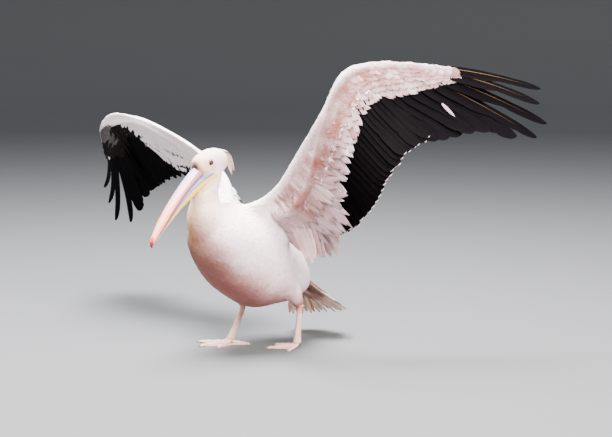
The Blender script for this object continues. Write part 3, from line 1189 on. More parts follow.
def vane_material(name, roughness, specular, root_dark, shaft_colour, fringe_colour, barb_depth):
    """Keratin vane: tint, pale shaft, ribs of barbs slanting from it, and a fringe at the rim."""
    made = new_material(name)
    dye = add(made, "Attribute", attribute_name="Tint")
    fringe = add(made, "Attribute", attribute_name="Fringe")
    norm = add(made, "SeparateXYZ", {0: add(made, "UVMap", uv_map="Vane").outputs[0]})
    real = add(made, "SeparateXYZ", {0: add(made, "UVMap", uv_map="Barbs").outputs[0]})
    off = add(made, "Math", {0: norm.outputs["X"], 1: 0.5}, operation="SUBTRACT")
    off_shaft = add(made, "Math", {0: off.outputs[0]}, operation="ABSOLUTE")
    off_mm = add(made, "Math", {0: real.outputs["X"]}, operation="ABSOLUTE")
    slant = add(made, "Math", {0: off_mm.outputs[0], 1: -1.3, 2: real.outputs["Y"]},
                operation="MULTIPLY_ADD")
    uneven = add(made, "TexNoise", {"Scale": 34.0, "Detail": 3.0, "Vector": add(
        made, "TexCoord").outputs["Object"]})
    waver = add(made, "Math", {0: uneven.outputs["Fac"], 1: 0.004, 2: slant.outputs[0]},
                operation="MULTIPLY_ADD")
    ribs = add(made, "Math", {0: add(made, "Math", {0: waver.outputs[0], 1: 2 * math.pi / BARB_SPACING},
            operation="MULTIPLY").outputs[0]}, operation="SINE")
    root = add(made, "MapRange", {"Value": norm.outputs["Y"], "From Max": 0.6,
            "To Min": root_dark, "To Max": 1.0})
    blotch = add(made, "MapRange", {"Value": uneven.outputs["Fac"], "From Min": 0.3,
            "From Max": 0.7, "To Min": 0.86, "To Max": 1.1})
    rib_shade = add(made, "MapRange", {"Value": ribs.outputs[0], "From Min": -1.0,
            "To Min": 0.93, "To Max": 1.04})
    shades = add(made, "Math", {0: add(made, "Math", {0: root.outputs[0], 1: blotch.outputs[0]},
            operation="MULTIPLY").outputs[0], 1: rib_shade.outputs[0]},
                 operation="MULTIPLY")
    body = add(made, "VectorMath", {0: dye.outputs["Color"]}, operation="SCALE")
    made.node_tree.links.new(shades.outputs[0], body.inputs["Scale"])
    rim_from = add(made, "Math", {0: fringe.outputs["Fac"], 1: -0.018, 2: 1.0},
                   operation="MULTIPLY_ADD")
    past = add(made, "Math", {0: norm.outputs["Y"], 1: rim_from.outputs[0]}, operation="SUBTRACT")
    rim = add(made, "MapRange", {"Value": past.outputs[0], "From Max": 0.008})
    rim_share = add(made, "Math", {0: rim.outputs[0], 1: add(made, "MapRange", {
        "Value": fringe.outputs["Fac"], "From Max": 0.3}).outputs[0]}, operation="MULTIPLY")
    rimmed = add(made, "Mix", {0: rim_share.outputs[0], 6: body.outputs[0],
            7: linear(fringe_colour)}, data_type="RGBA")
    shaft_side = add(made, "MapRange", {"Value": off_shaft.outputs[0], "From Min": 0.012,
            "From Max": 0.028, "To Min": 1.0, "To Max": 0.0})
    shaft_run = add(made, "MapRange", {"Value": norm.outputs["Y"], "From Min": 0.55,
            "From Max": 0.85, "To Min": 1.0, "To Max": 0.0})
    shaft_share = add(made, "Math", {0: add(made, "Math", {
        0: shaft_side.outputs[0], 1: shaft_run.outputs[0]}, operation="MULTIPLY").outputs[0],
        1: add(made, "Attribute", attribute_name="Shaft").outputs["Fac"]}, operation="MULTIPLY")
    shown = add(made, "Mix", {0: shaft_share.outputs[0], 6: rimmed.outputs[2],
            7: linear(shaft_colour)}, data_type="RGBA")
    bump = add(made, "Bump", {"Height": ribs.outputs[0], "Strength": 0.4, "Distance": barb_depth})
    return finish_material(made, add(made, "BsdfPrincipled", {
        "Base Color": shown.outputs[2], "Roughness": roughness, "Specular IOR Level": specular,
        "Normal": bump.outputs[0],
    }))


# Black flight feather: melanin-dark keratin with a slight satin gloss, a horn-
# coloured shaft and a worn pale rim.
black_vane = vane_material("black_flight_feather", 0.6, 0.02, 1.0, "#806040", "#e8d2d2", 0.0002)
# White flight feather: chalky, without gloss, its shaft ivory.
white_vane = vane_material("white_flight_feather", 0.75, 0.2, 0.86, "#efe2cf", "#faf5f2", 0.00025)

worn = np.random.default_rng(23)
t = feather_rows()
for side in FRONT:
    primaries, dyes = [], []
    back_way = unit(wing_point(side, 0.9, 1.0) - wing_point(side, 0.9, 0.0))
    for k, (width, station, near, bend) in enumerate(PRIMARIES):
        root = wing_point(side, station, 1 - near)
        tip = np.array(PRIMARY_TIPS[side][k], float)
        out = unit(tip - root)
        normal = unit(np.cross(out, back_way)) * (1 if side == "left" else -1)
        aside = np.cross(normal, out) * bend
        if aside @ back_way > 0:
            aside = -aside
        if side == "right":
            aside = aside * (-1.1 if k < 4 else 0.1)
        start = root - out * 46 + back_way * -4
        knee = start + (tip - start) * (0.47 if side == "left" else 0.62) + aside
        spine = bent(start, knee, tip, t)
        spine += normal * (7.0 * np.sin(np.pi * t) - 3.0 * t**3)[:, None] * (0.6 + 0.05 * k)
        slotted = k < 4
        lead = width * 0.30 * blade_outline(t, 0.25, 0.55, 0.80, 1.8)
        trail = width * 0.72 * blade_outline(t, 0.25, 0.5, 0.74, 2.2)
        if slotted:
            pinch = 1 - 0.34 * np.clip((t - 0.52) / 0.10, 0, 1)
            if side == "right":
                pinch = 0.95 - 0.40 * np.clip((t - 0.16) / 0.16, 0, 1)
                lead *= pinch
            trail *= pinch
            lead *= 1 - 0.15 * np.clip((t - 0.45) / 0.12, 0, 1)
        trail, lead = notched(trail, t, worn), notched(lead, t, worn, 1)
        shaft = 1.6 * (1 - 0.86 * t)
        primaries.append(laid_blade(spine, -back_way, normal, lead, trail, shaft))
        dyes.append(np.array(linear("#080608")[:3]) * worn.uniform(0.8, 1.2))
    pale_shafts = [0.6, 0.5, 0.5, 0.4] if side == "left" else [0.0] * 4
    thing = blades_piece(f"primaries_{side}_feathers", primaries, dyes, [0.0] * 10,
            pale_shafts + [0.0] * 6, black_vane)
    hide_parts(f"primaries_{side}")

    secondaries, dyes, rims = [], [], []
    for k in range(SECONDARY_COUNT):
        share = (k + 0.5) / SECONDARY_COUNT
        station = SECONDARY_FROM + (SECONDARY_TO - SECONDARY_FROM) * share
        out, back, upper, span, deep = wing_frame(side, station)
        root = wing_point(side, station - 0.012, 0.55)
        tip = curve(SECONDARY_TIPS[side], share) + worn.normal(0, 1.6, 3)
        tip = tip + unit(tip - root) * (worn.uniform(-5, 3) if side == "left" else 9 * (k % 2) - 9)
        knee = wing_point(side, station, 0.98) * 0.5 + tip * 0.5 + out * 7
        knee = root + (knee - root) * 0.9
        spine = bent(root, knee, tip, t) + upper * (5 * np.sin(np.pi * t))[:, None]
        width = 2.1 * 0.5 * (span * (SECONDARY_TO - SECONDARY_FROM) + 250) / SECONDARY_COUNT
        width = np.clip(width, 34, 50) * (1.0 if side == "left" else 0.72)
        lead = width * 0.42 * blade_outline(t, 0.3, 0.5, 0.80, 2.6)
        trail = width * 0.62 * blade_outline(t, 0.3, 0.5, 0.78, 2.6)
        trail, lead = notched(trail, t, worn), notched(lead, t, worn, 1)
        shaft = 1.7 * (1 - 0.85 * t)
        secondaries.append(laid_blade(spine, -back, upper, lead, trail, shaft))
        dyes.append(np.array(linear("#080607")[:3]) * worn.uniform(0.7, 1.25))
        rims.append(float(np.interp(share, (0, 0.5, 0.85, 1), (1.5, 0.9, 0.6, 0.5)))
                    if side == "left" else 0.0)
    thing = blades_piece(f"secondaries_{side}_feathers", secondaries, dyes, rims,
            [0.0] * SECONDARY_COUNT, black_vane)
    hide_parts(f"secondaries_{side}")

    tertials, dyes = [], []
    for k in range(TERTIAL_COUNT):
        share = (k + 0.3) / (TERTIAL_COUNT - 0.4)
        station = 0.02 + 0.23 * share
        out, back, upper, span, deep = wing_frame(side, station)
        root = wing_point(side, station, 0.5)
        tip = curve(TERTIAL_TIPS[side], share) + worn.normal(0, 3, 3)
        tip = tip + unit(tip - root) * worn.uniform(-12, 8)
        knee = wing_point(side, station, 1.0 if side == "left" else 0.86) + out * 5 + upper * 4
        spine = bent(root, knee, tip, t) + upper * (2.5 * (k % 3 - 1)) * t[:, None]
        lead = 21 * blade_outline(t, 0.3, 0.4, 0.55, 1.5)
        trail = 25 * blade_outline(t, 0.3, 0.4, 0.50, 1.5)
        trail, lead = notched(trail, t, worn, 3), notched(lead, t, worn, 2)
        tertials.append(laid_blade(spine, -back, upper, lead, trail, 1.2 * (1 - 0.85 * t)))
        dyes.append(dyed(np.array([linear("#efd2d0")[:3]]), "#9a5440",
                         np.array([worn.uniform(0, 0.55)]))[0])
    thing = blades_piece(f"tertials_{side}_feathers", tertials, dyes, [0.0] * TERTIAL_COUNT,
            [0.35] * TERTIAL_COUNT, white_vane)
    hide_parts(f"tertials_{side}")

# ---- Wing coverts ----------------------------------------------------------
# Overlapping rows of soft feathers that cover the roots of the flight feathers
# above and below the wing: white, but black above over the primaries and sooty
# under the right hand.

THINNEST = 2.5  # least height of a wing's surface over its middle, millimetres
REACH = 0.07  # how far from the middle the arm's solids are looked for, metres
arm_height = {}
for side in FRONT:
    corners, faces = [], []
    for part in ("upper_arm", "forearm", "hand"):
        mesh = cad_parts[f"{part}_{side}"].data
        base = len(corners)
        corners += [v.co.copy() for v in mesh.vertices]
        faces += [[base + i for i in p.vertices] for p in mesh.polygons]
    arm_tree = BVHTree.FromPolygons(corners, faces)
    upper = wing_frame(side, STATIONS)[2]
    for sign in (1, -1):
        heights = np.full((len(STATIONS), len(CHORDS)), THINNEST)
        for i in range(len(STATIONS)):
            for j in range(len(CHORDS)):
                middle = Vector(place(wing_grid[side][i, j]))
                way = Vector(upper[i]) * sign
                hit = arm_tree.ray_cast(middle + way * REACH, -way, REACH)[0]
                if hit is not None:
                    heights[i, j] = max((hit - middle).dot(way) * 1000, THINNEST)
        for _ in range(6):
            soft = np.pad(heights, 1, mode="edge")
            heights = (soft[:-2, 1:-1] + soft[2:, 1:-1] + soft[1:-1, :-2] + soft[1:-1, 2:]
                       + 2 * heights) / 6
        arm_height[side, sign] = heights


def height_at(side, sign, station, chord):
    """How far the wing's surface lies above (1) or below (-1) its middle, millimetres."""
    heights = arm_height[side, sign]
    i = np.clip((station - STATIONS[0]) / (STATIONS[1] - STATIONS[0]), 0, len(STATIONS) - 1.001)
    j = np.clip((chord - CHORDS[0]) / (CHORDS[1] - CHORDS[0]), 0, len(CHORDS) - 1.001)
    a, b = i.astype(int), j.astype(int)
    u, v = i - a, j - b
    low = heights[a, b] * (1 - v) + heights[a, b + 1] * v
    high = heights[a + 1, b] * (1 - v) + heights[a + 1, b + 1] * v
    return low * (1 - u) + high * u


def covert_row(side, sign, stations, chord_from, ends_at, width, depth, lift, jitter):
    """One row of coverts on a wing: their spines, upper sides and widths in millimetres."""
    rows = []
    for station, chord_to in zip(stations, ends_at):
        out, back, upper, span, deep = wing_frame(side, station)
        lean = sweep_angle(station) * (0.8 if chord_from < 0.7 or side == "left" else 0.2)
        lean += worn.normal(0, 0.06)
        reach = (chord_to - chord_from) * deep * worn.uniform(1 - jitter, 1 + jitter * 0.4)
        if side == "right":
            reach *= np.interp(station, (0.05, 0.35), (0.74, 1.0))
        reach = max(reach, 30.0)
        t = np.linspace(0, 1, 9)
        here_s = station + t * reach * math.sin(lean) / span
        here_c = chord_from + t * reach * math.cos(lean) / max(deep, 60)
        inside = np.minimum(here_s, 1.0)
        spot = wing_point(side, inside, here_c) + out * ((here_s - inside) * span)[:, None]
        _, _, uppers, _, _ = wing_frame(side, inside)
        height = height_at(side, sign, inside, here_c)
        up = height - depth * (1 - t) ** 1.2 + lift * t
        clear = 2.6 + depth * 0.1 + 4.0 * (here_c - 0.92)
        up = np.where(here_c > 0.92, np.maximum(up, clear), up)
        spine = spot + uppers * (sign * up)[:, None]
        rows.append((spine, uppers * sign, width * worn.uniform(0.9, 1.1)))
    return rows


# Sooty covert: the same soft vane filled with dark pigment, without any bloom.
sooty_material = new_material("sooty_contour_feather")
sooty_down = add(sooty_material, "TexNoise", {
    "Vector": add(sooty_material, "TexCoord").outputs["Object"], "Scale": 300.0, "Detail": 5.0})
sooty_tint = add(sooty_material, "Attribute", attribute_name="Tint")
sooty_mix = add(sooty_material, "Mix", {0: sooty_down.outputs["Fac"], 6: sooty_tint.outputs["Color"],
        7: linear("#0b0908")}, data_type="RGBA")
sooty_bump = add(sooty_material, "Bump", {"Height": sooty_down.outputs["Fac"], "Strength": 0.25,
        "Distance": 0.0006})
finish_material(sooty_material, add(sooty_material, "BsdfPrincipled", {
    "Base Color": sooty_mix.outputs[2], "Roughness": 0.7, "Specular IOR Level": 0.04,
    "Normal": sooty_bump.outputs[0],
}))

COVERT = (0.40, 0.75, 0.95, 1.0, 0.96, 0.86, 0.68, 0.42, 0.06)
# Row: share of the chord where it starts and ends, count, width, depth of the
# root under the surface and lift of the tip, millimetres, first and last station.
COVERT_ROWS = [
    (0.60, 1.12, 50, 24, 5.5, 0.1, 0.015, 0.985), (0.46, 0.93, 52, 23, 4.5, 0.1, 0.015, 0.985),
    (0.34, 0.76, 54, 21, 3.6, 0.1, 0.015, 0.985), (0.24, 0.60, 56, 19, 3.0, 0.1, 0.015, 0.985),
    (0.14, 0.46, 58, 17, 2.6, 0.1, 0.015, 0.985),
]
# Long axillary feathers hang from the armpit over the roots of the tertials.
AXILLARY_ROWS = [
    (0.46, 1.42, 16, 34, 6.0, 2.5, 0.02, 0.27), (0.40, 1.22, 18, 30, 5.0, 3.2, 0.02, 0.30),
    (0.34, 1.00, 20, 26, 4.5, 3.6, 0.02, 0.33),
]
# The right lining is long and smooth: a dark row, then two white ones. Each ends
# this much past the lining's edge, which runs in one straight line.
LINING_ROWS = [
    (1.0, 0.12, 40, 34, 6.0, 1.0, 0.24, 0.62), (0.85, 0.0, 90, 38, 5.0, 4.0, 0.24, 0.68),
    (0.70, -0.30, 90, 38, 5.0, 5.0, 0.24, 0.66),
]
DARK_COUNT = LINING_ROWS[0][2]
LINING_COUNT = sum(row[2] for row in LINING_ROWS)
for side in FRONT:
    for sign, place_name in ((-1, "under"), (1, "upper")):
        left_under = sign < 0 and side == "left"
        right_under = sign < 0 and side == "right"
        spines, ups, widths = [], [], []
        rows = AXILLARY_ROWS * (sign < 0) + COVERT_ROWS
        if right_under:
            rows = LINING_ROWS + rows
        for start, end, count, width, depth, lift, first, last in rows:
            stations = np.linspace(first, last, count) + worn.normal(0, 0.003, count)
            ends = np.full(count, end)
            if end < 0.3:  # a lining row
                ends = np.interp(stations, LINING_STATIONS, LINING_CHORDS) + end
            for spine, up, wide in covert_row(side, sign, stations, start, ends, width, depth, lift,
                    0.13 if left_under else 0.03):
                spines.append(spine)
                ups.append(up)
                widths.append(wide)
        spines, ups, widths = np.array(spines), np.array(ups), np.array(widths)
        middles = spines[:, 5]
        station, chord, _ = on_wing(side, middles)
        dyes = wing_colour(side, station, chord, sign < 0, middles)
        dyes = dyes * worn.normal(1.0, 0.03, (len(dyes), 1))
        if left_under:
            dyes = dyed(dyes, "#ead2d4", np.clip(worn.normal(0.0, 0.22, len(dyes)), 0, 0.6))
        sooty = np.zeros(len(spines), bool)
        if right_under:
            ends = on_wing(side, spines[:, 7])
            reach = np.linalg.norm(spines[:, 7] - wing_point(side, ends[0], ends[1]), axis=1)
            deep = wing_frame(side, ends[0])[4]
            past = np.where(ends[1] > 0.97, 1 + reach / deep, ends[1])
            sooty = past > np.interp(ends[0], LINING_STATIONS, LINING_CHORDS) + 0.04
            sooty[:DARK_COUNT] = True
            sooty[DARK_COUNT:LINING_COUNT] = False
            sooty |= ends[0] > 0.86
        if sign > 0:
            black = (station > 0.70) & (chord > 0.45) | (station > 0.93) & (side == "right")
            dyes[black] = np.array(linear("#0f0c0e")[:3])
        if left_under:
            # One small loose feather clings to the black ones.
            stray = np.linspace(0, 1, 9)[:, None]
            line = np.array([622, 178, 782]) * (1 - stray) + np.array([651, 203, 744]) * stray
            spines = np.concatenate([spines, line[None]])
            ups = np.concatenate([ups, np.repeat([[[0.6, -0.75, 0.2]]], 9, axis=1)])
            widths = np.append(widths, 9)
            dyes = np.vstack([dyes, linear("#c8aab0")[:3]])
            sooty = np.append(sooty, False)
        if right_under:
            dyes[sooty] = np.array(linear("#1c1310")[:3]) * worn.uniform(0.5, 1.3, (sooty.sum(), 1))
        for label, chosen, material in (("sooty_coverts", sooty, sooty_material),
                ("coverts", ~sooty, plumage_material)):
            if chosen.any():
                verts, quads, along = vanes(spines[chosen] / 1000 + BODY_SHIFT / 1000, ups[chosen],
                        widths[chosen] / 1000, COVERT, 0.0003, 0.06)
                coat_piece(f"{place_name}wing_{label}_{side}", verts, quads, along, dyes[chosen],
                           place(spines[chosen][:, 2]), material)

# ---- Tail ------------------------------------------------------------------
# Twenty-two short stiff tail feathers in a drooping fan, stained rusty brown, with
# longer soft feathers over their roots above and below.

TAIL_ROOT = np.array([0.0, 222.0, 182.0])
TAIL_LENGTH, TAIL_SPREAD, TAIL_DROOP, TAIL_ROLL = 200, 60, -36, 30
TAIL_COUNT = 22


def tail_path(turn, t, reach):
    """A path along the fan: turn -1 to 1 across it, shares t of the reach."""
    forward = facing(180 + TAIL_SPREAD * turn, TAIL_DROOP)[0]
    spots = TAIL_ROOT + forward * (-40 + (reach + 40) * t)[:, None]
    spots[:, 0] -= 30 * turn * (1 - t)
    spots[:, 2] += (12 * turn * turn - TAIL_ROLL * turn) * t
    return spots


t = feather_rows()
tail_blades, dyes = [], []
for k in range(TAIL_COUNT):
    turn = -1 + 2 * k / (TAIL_COUNT - 1)
    reach = TAIL_LENGTH * (1 - 0.1 * turn * turn) - worn.uniform(0, 22) * (k % 2 + 0.3)
    spine = tail_path(turn + worn.normal(0, 0.012), t, reach)
    beside = tail_path(turn + 0.05, t, reach) - spine
    upper = unit(np.cross(np.gradient(spine, axis=0), beside))
    upper *= np.sign(upper[:, 2:3] + 1e-9)
    spine = spine + upper * (4.4 * (1 - abs(turn)) - 2.0 - 4 * t[:, None] ** 2)
    middle_out = np.array([1.0 if turn > 0 else -1.0, 0, 0])
    lead = 9.5 * blade_outline(t, 0.3, 0.4, 0.62, 1.6)
    trail = 11.5 * blade_outline(t, 0.3, 0.4, 0.60, 1.6)
    trail, lead = notched(trail, t, worn, 4), notched(lead, t, worn, 3)
    tail_blades.append(laid_blade(spine, middle_out, upper, lead, trail, 1.5 * (1 - 0.8 * t),
            math.radians(-5)))
    rust = (0.08, 0.55, 0.2, 0.75)[k % 4] * worn.uniform(0.7, 1.2)
    dyes.append(dyed(np.array([linear("#fff0de")[:3]]), "#c8641c", np.array([rust]))[0])
# Tail feather: white keratin stained by mud and preen oil, darkest and frayed at the tip.
tail_vane = vane_material("stained_tail_feather", 0.7, 0.15, 0.45, "#e8cda6", "#3a1c0e", 0.0003)
tail = blades_piece("tail_feathers", tail_blades, dyes, [9.0, 6.0] + [1.5] * (TAIL_COUNT - 2),
                    [0.7] * TAIL_COUNT, tail_vane)
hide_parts("tail")

for below, name in ((-1, "undertail_coverts"), (1, "uppertail_coverts")):
    spines, ups, widths, dyes = [], [], [], []
    for rank, (near, far, count) in enumerate(((0.0, 0.62, 17), (-0.12, 0.44, 15), (-0.2, 0.28, 13))):
        for turn in np.linspace(-1, 1, count):
            turn = turn + worn.normal(0, 0.03)
            reach = TAIL_LENGTH * (1 - 0.1 * turn * turn)
            run = near + (far * worn.uniform(0.88, 1.08) - near) * np.linspace(0, 1, 9)
            spine = tail_path(turn, run, reach)
            side_way = tail_path(turn + 0.05, run, reach) - spine
            upper = unit(np.cross(np.gradient(spine, axis=0), side_way))
            upper *= np.sign(upper[:, 2:3] + 1e-9)
            bulk = 5 + 15 * (1 - turn**2) * np.clip(1 - run / 0.7, 0, 1)[:, None]
            spine = spine + upper * below * (bulk + 3.5 * rank)
            spines.append(spine)
            ups.append(upper * below)
            widths.append(worn.uniform(19, 25))
    spines, ups, widths = np.array(spines), np.array(ups), np.array(widths)
    dyes = dyed(np.tile(linear("#fbe6dc")[:3], (len(spines), 1)), "#7a2c10",
                0.34 + 0.3 * mottled(spines[:, 6], 25, 41) + 0.5 * (below < 0))
    verts, quads, along = vanes((spines + BODY_SHIFT) / 1000, ups, widths / 1000, COVERT, 0.0004, 0.1)
    coat_piece(name, verts, quads, along, dyes, place(spines[:, 0]), plumage_material)

# ---- Nape crest ------------------------------------------------------------
# A short drooping tuft of soft peach-pink plumes at the back of the crown, each
# with loose barbs that end in a thread.

# Three guides back and up from the head's middle, millimetres.
crest_paths = (np.array([(-40, 34), (-72, 22), (-95, -8), (-105, -52)], float),
               np.array([(-40, 32), (-68, 14), (-87, -18), (-93, -60)], float),
               np.array([(-40, 30), (-64, 8), (-80, -16), (-84, -46)], float))
PLUME = (0.6, 1.0, 0.95, 0.8, 0.62, 0.45, 0.3, 0.16, 0.04)
PLUME_COUNT = 110
spines, ups, widths = [], [], []
for k in range(PLUME_COUNT):
    spread_at = worn.uniform(-1, 1)
    level = worn.uniform(0, 1)
    start = np.array([-24 - 34 * level, 38 - 26 * level])
    reach = worn.uniform(0.6, 1.12) * (1 - 0.15 * level)
    s = np.linspace(0, 1, 9)
    guide = curve(crest_paths[k % 3], np.clip(0.05 + 0.25 * level + s * reach * 0.8, 0, 1))
    fan = spread_at * (9 - 6 * s)
    pulled = start + (guide - start) * np.clip(s * 2.2, 0, 1)[:, None]
    spine = (HEAD_CENTRE + pulled[:, :1] * head_forward
             + (pulled[:, 1:] + worn.normal(0, 1.5)) * head_up + fan[:, None] * head_left)
    ahead = unit(np.gradient(spine, axis=0))
    up = unit(np.cross(ahead, head_left) + 0.15 * worn.normal(size=3))
    up *= np.sign((up * (spine - HEAD_CENTRE)).sum(1, keepdims=True))
    spines.append(spine)
    ups.append(up)
    widths.append(worn.uniform(5.0, 9.0))
spines, ups, widths = np.array(spines), np.array(ups), np.array(widths)
dyes = dyed(np.tile(linear("#fff0e6")[:3], (PLUME_COUNT, 1)), "#f3a878",
            worn.uniform(0, 0.7, PLUME_COUNT) ** 1.5)
verts, quads, along = vanes((spines + BODY_SHIFT) / 1000, ups, widths / 1000, PLUME, 0.0003, 0.1)
crest = coat_piece("crest_plumes", verts, quads, along, dyes, place(spines[:, 0]), plumage_material)
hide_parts("crest")

# ---- Eyes ------------------------------------------------------------------
# Glass eyes: dark red-brown iris round a black pupil under a clear domed front.

EYE_RADIUS = 8.8
DOME = 0.7  # how far the clear front stands out, millimetres
# Eyeball: wet and glossy, its colour ringed from pupil to iris to dark rim.
eye_material = new_material("glossy_eyeball")
eye_place = add(eye_material, "SeparateXYZ", {0: add(eye_material, "TexCoord").outputs["Object"]})
eye_flat = add(eye_material, "CombineXYZ", {"X": eye_place.outputs["X"], "Y": eye_place.outputs["Y"]})
eye_off = add(eye_material, "VectorMath", {0: eye_flat.outputs[0]}, operation="LENGTH")
rings = add(eye_material, "ValToRGB", {"Fac": add(eye_material, "MapRange", {
    "Value": eye_off.outputs["Value"], "From Max": 0.0072}).outputs[0]})
for at, colour in ((0.30, "#020202"), (0.36, "#1c0507"), (0.62, "#280709"), (0.78, "#100304")):
    stop = rings.color_ramp.elements.new(at)
    stop.color = linear(colour)
rings.color_ramp.elements[0].color = linear("#050404")
rings.color_ramp.elements[-1].color = linear("#1a0b0a")
streaks = add(eye_material, "TexNoise", {"Scale": 900.0, "Detail": 3.0,
        "Vector": add(eye_material, "TexCoord").outputs["Object"]})
eye_mix = add(eye_material, "Mix", {0: 0.35, 6: rings.outputs["Color"], 7: streaks.outputs["Color"]},
              data_type="RGBA", blend_type="MULTIPLY")
eye_bump = add(eye_material, "Bump", {"Height": streaks.outputs["Fac"], "Strength": 0.02,
        "Distance": 0.0001})
finish_material(eye_material, add(eye_material, "BsdfPrincipled", {
    "Base Color": eye_mix.outputs[2], "Roughness": 0.12, "Specular IOR Level": 0.3,
    "Coat Weight": 0.35, "Coat Roughness": 0.02, "Normal": eye_bump.outputs[0],
}))
for out, side in ((1, "left"), (-1, "right")):
    polar = np.linspace(0, np.pi, 25)
    radius = EYE_RADIUS * np.sin(polar)
    height = EYE_RADIUS * np.cos(polar)
    height = np.where(polar < 0.75, height + DOME * np.cos(polar / 0.75 * np.pi / 2) ** 2, height)
    middle = np.stack([0 * height, 0 * height, height], 1)
    verts, faces = loft(middle, radius[:, None] * np.array([1.0, 0, 0]),
                        radius[:, None] * np.array([0, 1.0, 0]), 36)
    eye = piece(f"eyeball_{side}", verts / 1000, [face[::-1] for face in faces], [eye_material])
    centre = (HEAD_CENTRE + EYE_AT[0] * head_forward + EYE_AT[2] * head_up
              + out * EYE_AT[1] * head_left)
    eye.location = place(centre)
    look = Vector(out * head_left + 0.22 * head_forward)
    eye.rotation_euler = look.to_track_quat("Z", "Y").to_euler()
    bpy.context.view_layer.update()
    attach(eye, "root")
    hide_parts(f"eye_{side}")

# ---- Bill and pouch --------------------------------------------------------
# Horn-sheathed bill: a long flat upper half with a raised ridge down its middle
# and a red hooked nail, two thin lower rods, and the elastic yellow pouch between
# them.

# [fraction of the length, drop, half width, half height]
UPPER_BILL = [
    (-0.06, 4, 19, 14), (0, 3, 20, 14), (0.12, -3, 19.5, 11), (0.3, -8, 18.5, 9),
    (0.5, -10, 18, 7.5), (0.7, -8, 17, 6), (0.84, -4, 13.5, 5), (0.93, 0, 10.5, 4.5), (0.972, 3.5, 7, 3.2),
]
NAIL = [(0.905, -2.5, 4.8, 4.4), (0.935, -1.5, 6.0, 5.0), (0.965, 0.5, 5.6, 5.2), (0.985, 3.5, 4.6, 5.6),
        (1.0, 7.5, 3.2, 5.2), (1.004, 11, 1.6, 3.0)]
LOWER_BILL = [
    (-0.16, 42, 29, 4), (-0.11, 35, 33, 5), (0, 23, 26.5, 7), (0.15, 14, 21.5, 6), (0.3, 8, 18.5, 4.8),
    (0.5, 3.5, 17, 3.8), (0.7, 3, 14.5, 3), (0.84, 4.5, 11, 2.8), (0.94, 6.5, 6.5, 2.6),
]
POUCH = [
    (-0.27, 70, 20, 9), (-0.14, 52, 31, 10), (0, 38, 27, 13), (0.1, 30, 22.5, 14), (0.3, 18, 17.5, 12),
    (0.5, 11, 14.5, 8.5), (0.7, 8, 11, 5.5), (0.86, 7.5, 6, 3.5),
]


def bill_shell(table, profile, steps=60, sides=48, power=2.3, upright=False):
    """A shell along the bill; profile(x, y, f) shifts the surface: x across and y up, both -1 to
    1. Its map holds x, or y if upright, and the share of the length."""
    rows = curve(table, np.linspace(0, 1, steps))
    a = 2 * np.pi * (np.arange(sides) + 0.5) / sides
    x = np.sign(np.cos(a)) * np.abs(np.cos(a)) ** (2 / power)
    y = np.sign(np.sin(a)) * np.abs(np.sin(a)) ** (2 / power)
    f = rows[:, :1]
    lift = profile(x[None], y[None], f)
    across = rows[:, 2:3] * x[None]
    upward = rows[:, 3:4] * y[None] + lift
    middle = BILL_BASE + f * BILL_LENGTH * bill_forward - rows[:, 1:2] * bill_up
    ring = middle[:, None] + across[..., None] * bill_left + upward[..., None] * bill_up
    grid = np.arange(steps * sides).reshape(steps, sides)
    nxt = np.roll(grid, -1, axis=1)
    walls = np.stack([grid[:-1], nxt[:-1], nxt[1:], grid[1:]], -1).reshape(-1, 4).tolist()
    caps = [grid[0, ::-1].tolist(), grid[-1].tolist()]
    shown = np.stack(np.broadcast_arrays(0.5 + 0.5 * (y if upright else x)[None], f), -1)
    return ring.reshape(-1, 3), walls + caps, shown.reshape(-1, 2)


def culmen(x, y, f):
    """The upper bill's rounded middle ridge and the groove on each side of it."""
    top = np.clip(y, 0, 1) ** 0.3
    size = np.interp(f, (-0.06, 0.1, 0.9), (1.2, 1.0, 0.6))
    return top * size * (1.9 * np.exp(-(x / 0.30) ** 2) - 1.3 * np.exp(-((np.abs(x) - 0.52) / 0.13) ** 2)
            + 0.5 * np.exp(-((np.abs(x) - 0.82) / 0.1) ** 2))


def rods(x, y, f):
    """The lower bill's two rods: full at the sides, sunk between them."""
    return np.where(y < 0, 1, -1) * np.clip(1 - (np.abs(x) / 0.62) ** 2, 0, 1) * np.interp(
        f, (-0.2, 0.3, 0.9), (4.0, 2.2, 1.2))


def pleats(x, y, f):
    """Lengthwise folds of the slack pouch."""
    return np.clip(-y + 0.3, 0, 1) * (0.8 * np.sin(19 * x + 3 * np.sin(7 * f)) * np.interp(
        f, (-0.27, 0.0, 0.8), (1.0, 1.0, 0.35)))


def band(material, value, stops):
    """A colour for a value from 0 to 1, from a list of places and hex colours."""
    ramp = add(material, "ValToRGB", {"Fac": value})
    ramp.color_ramp.elements[0].position = stops[0][0]
    ramp.color_ramp.elements[0].color = linear(stops[0][1])
    ramp.color_ramp.elements[1].position = stops[-1][0]
    ramp.color_ramp.elements[1].color = linear(stops[-1][1])
    for at, colour in stops[1:-1]:
        ramp.color_ramp.elements.new(at).color = linear(colour)
    return ramp.outputs["Color"]


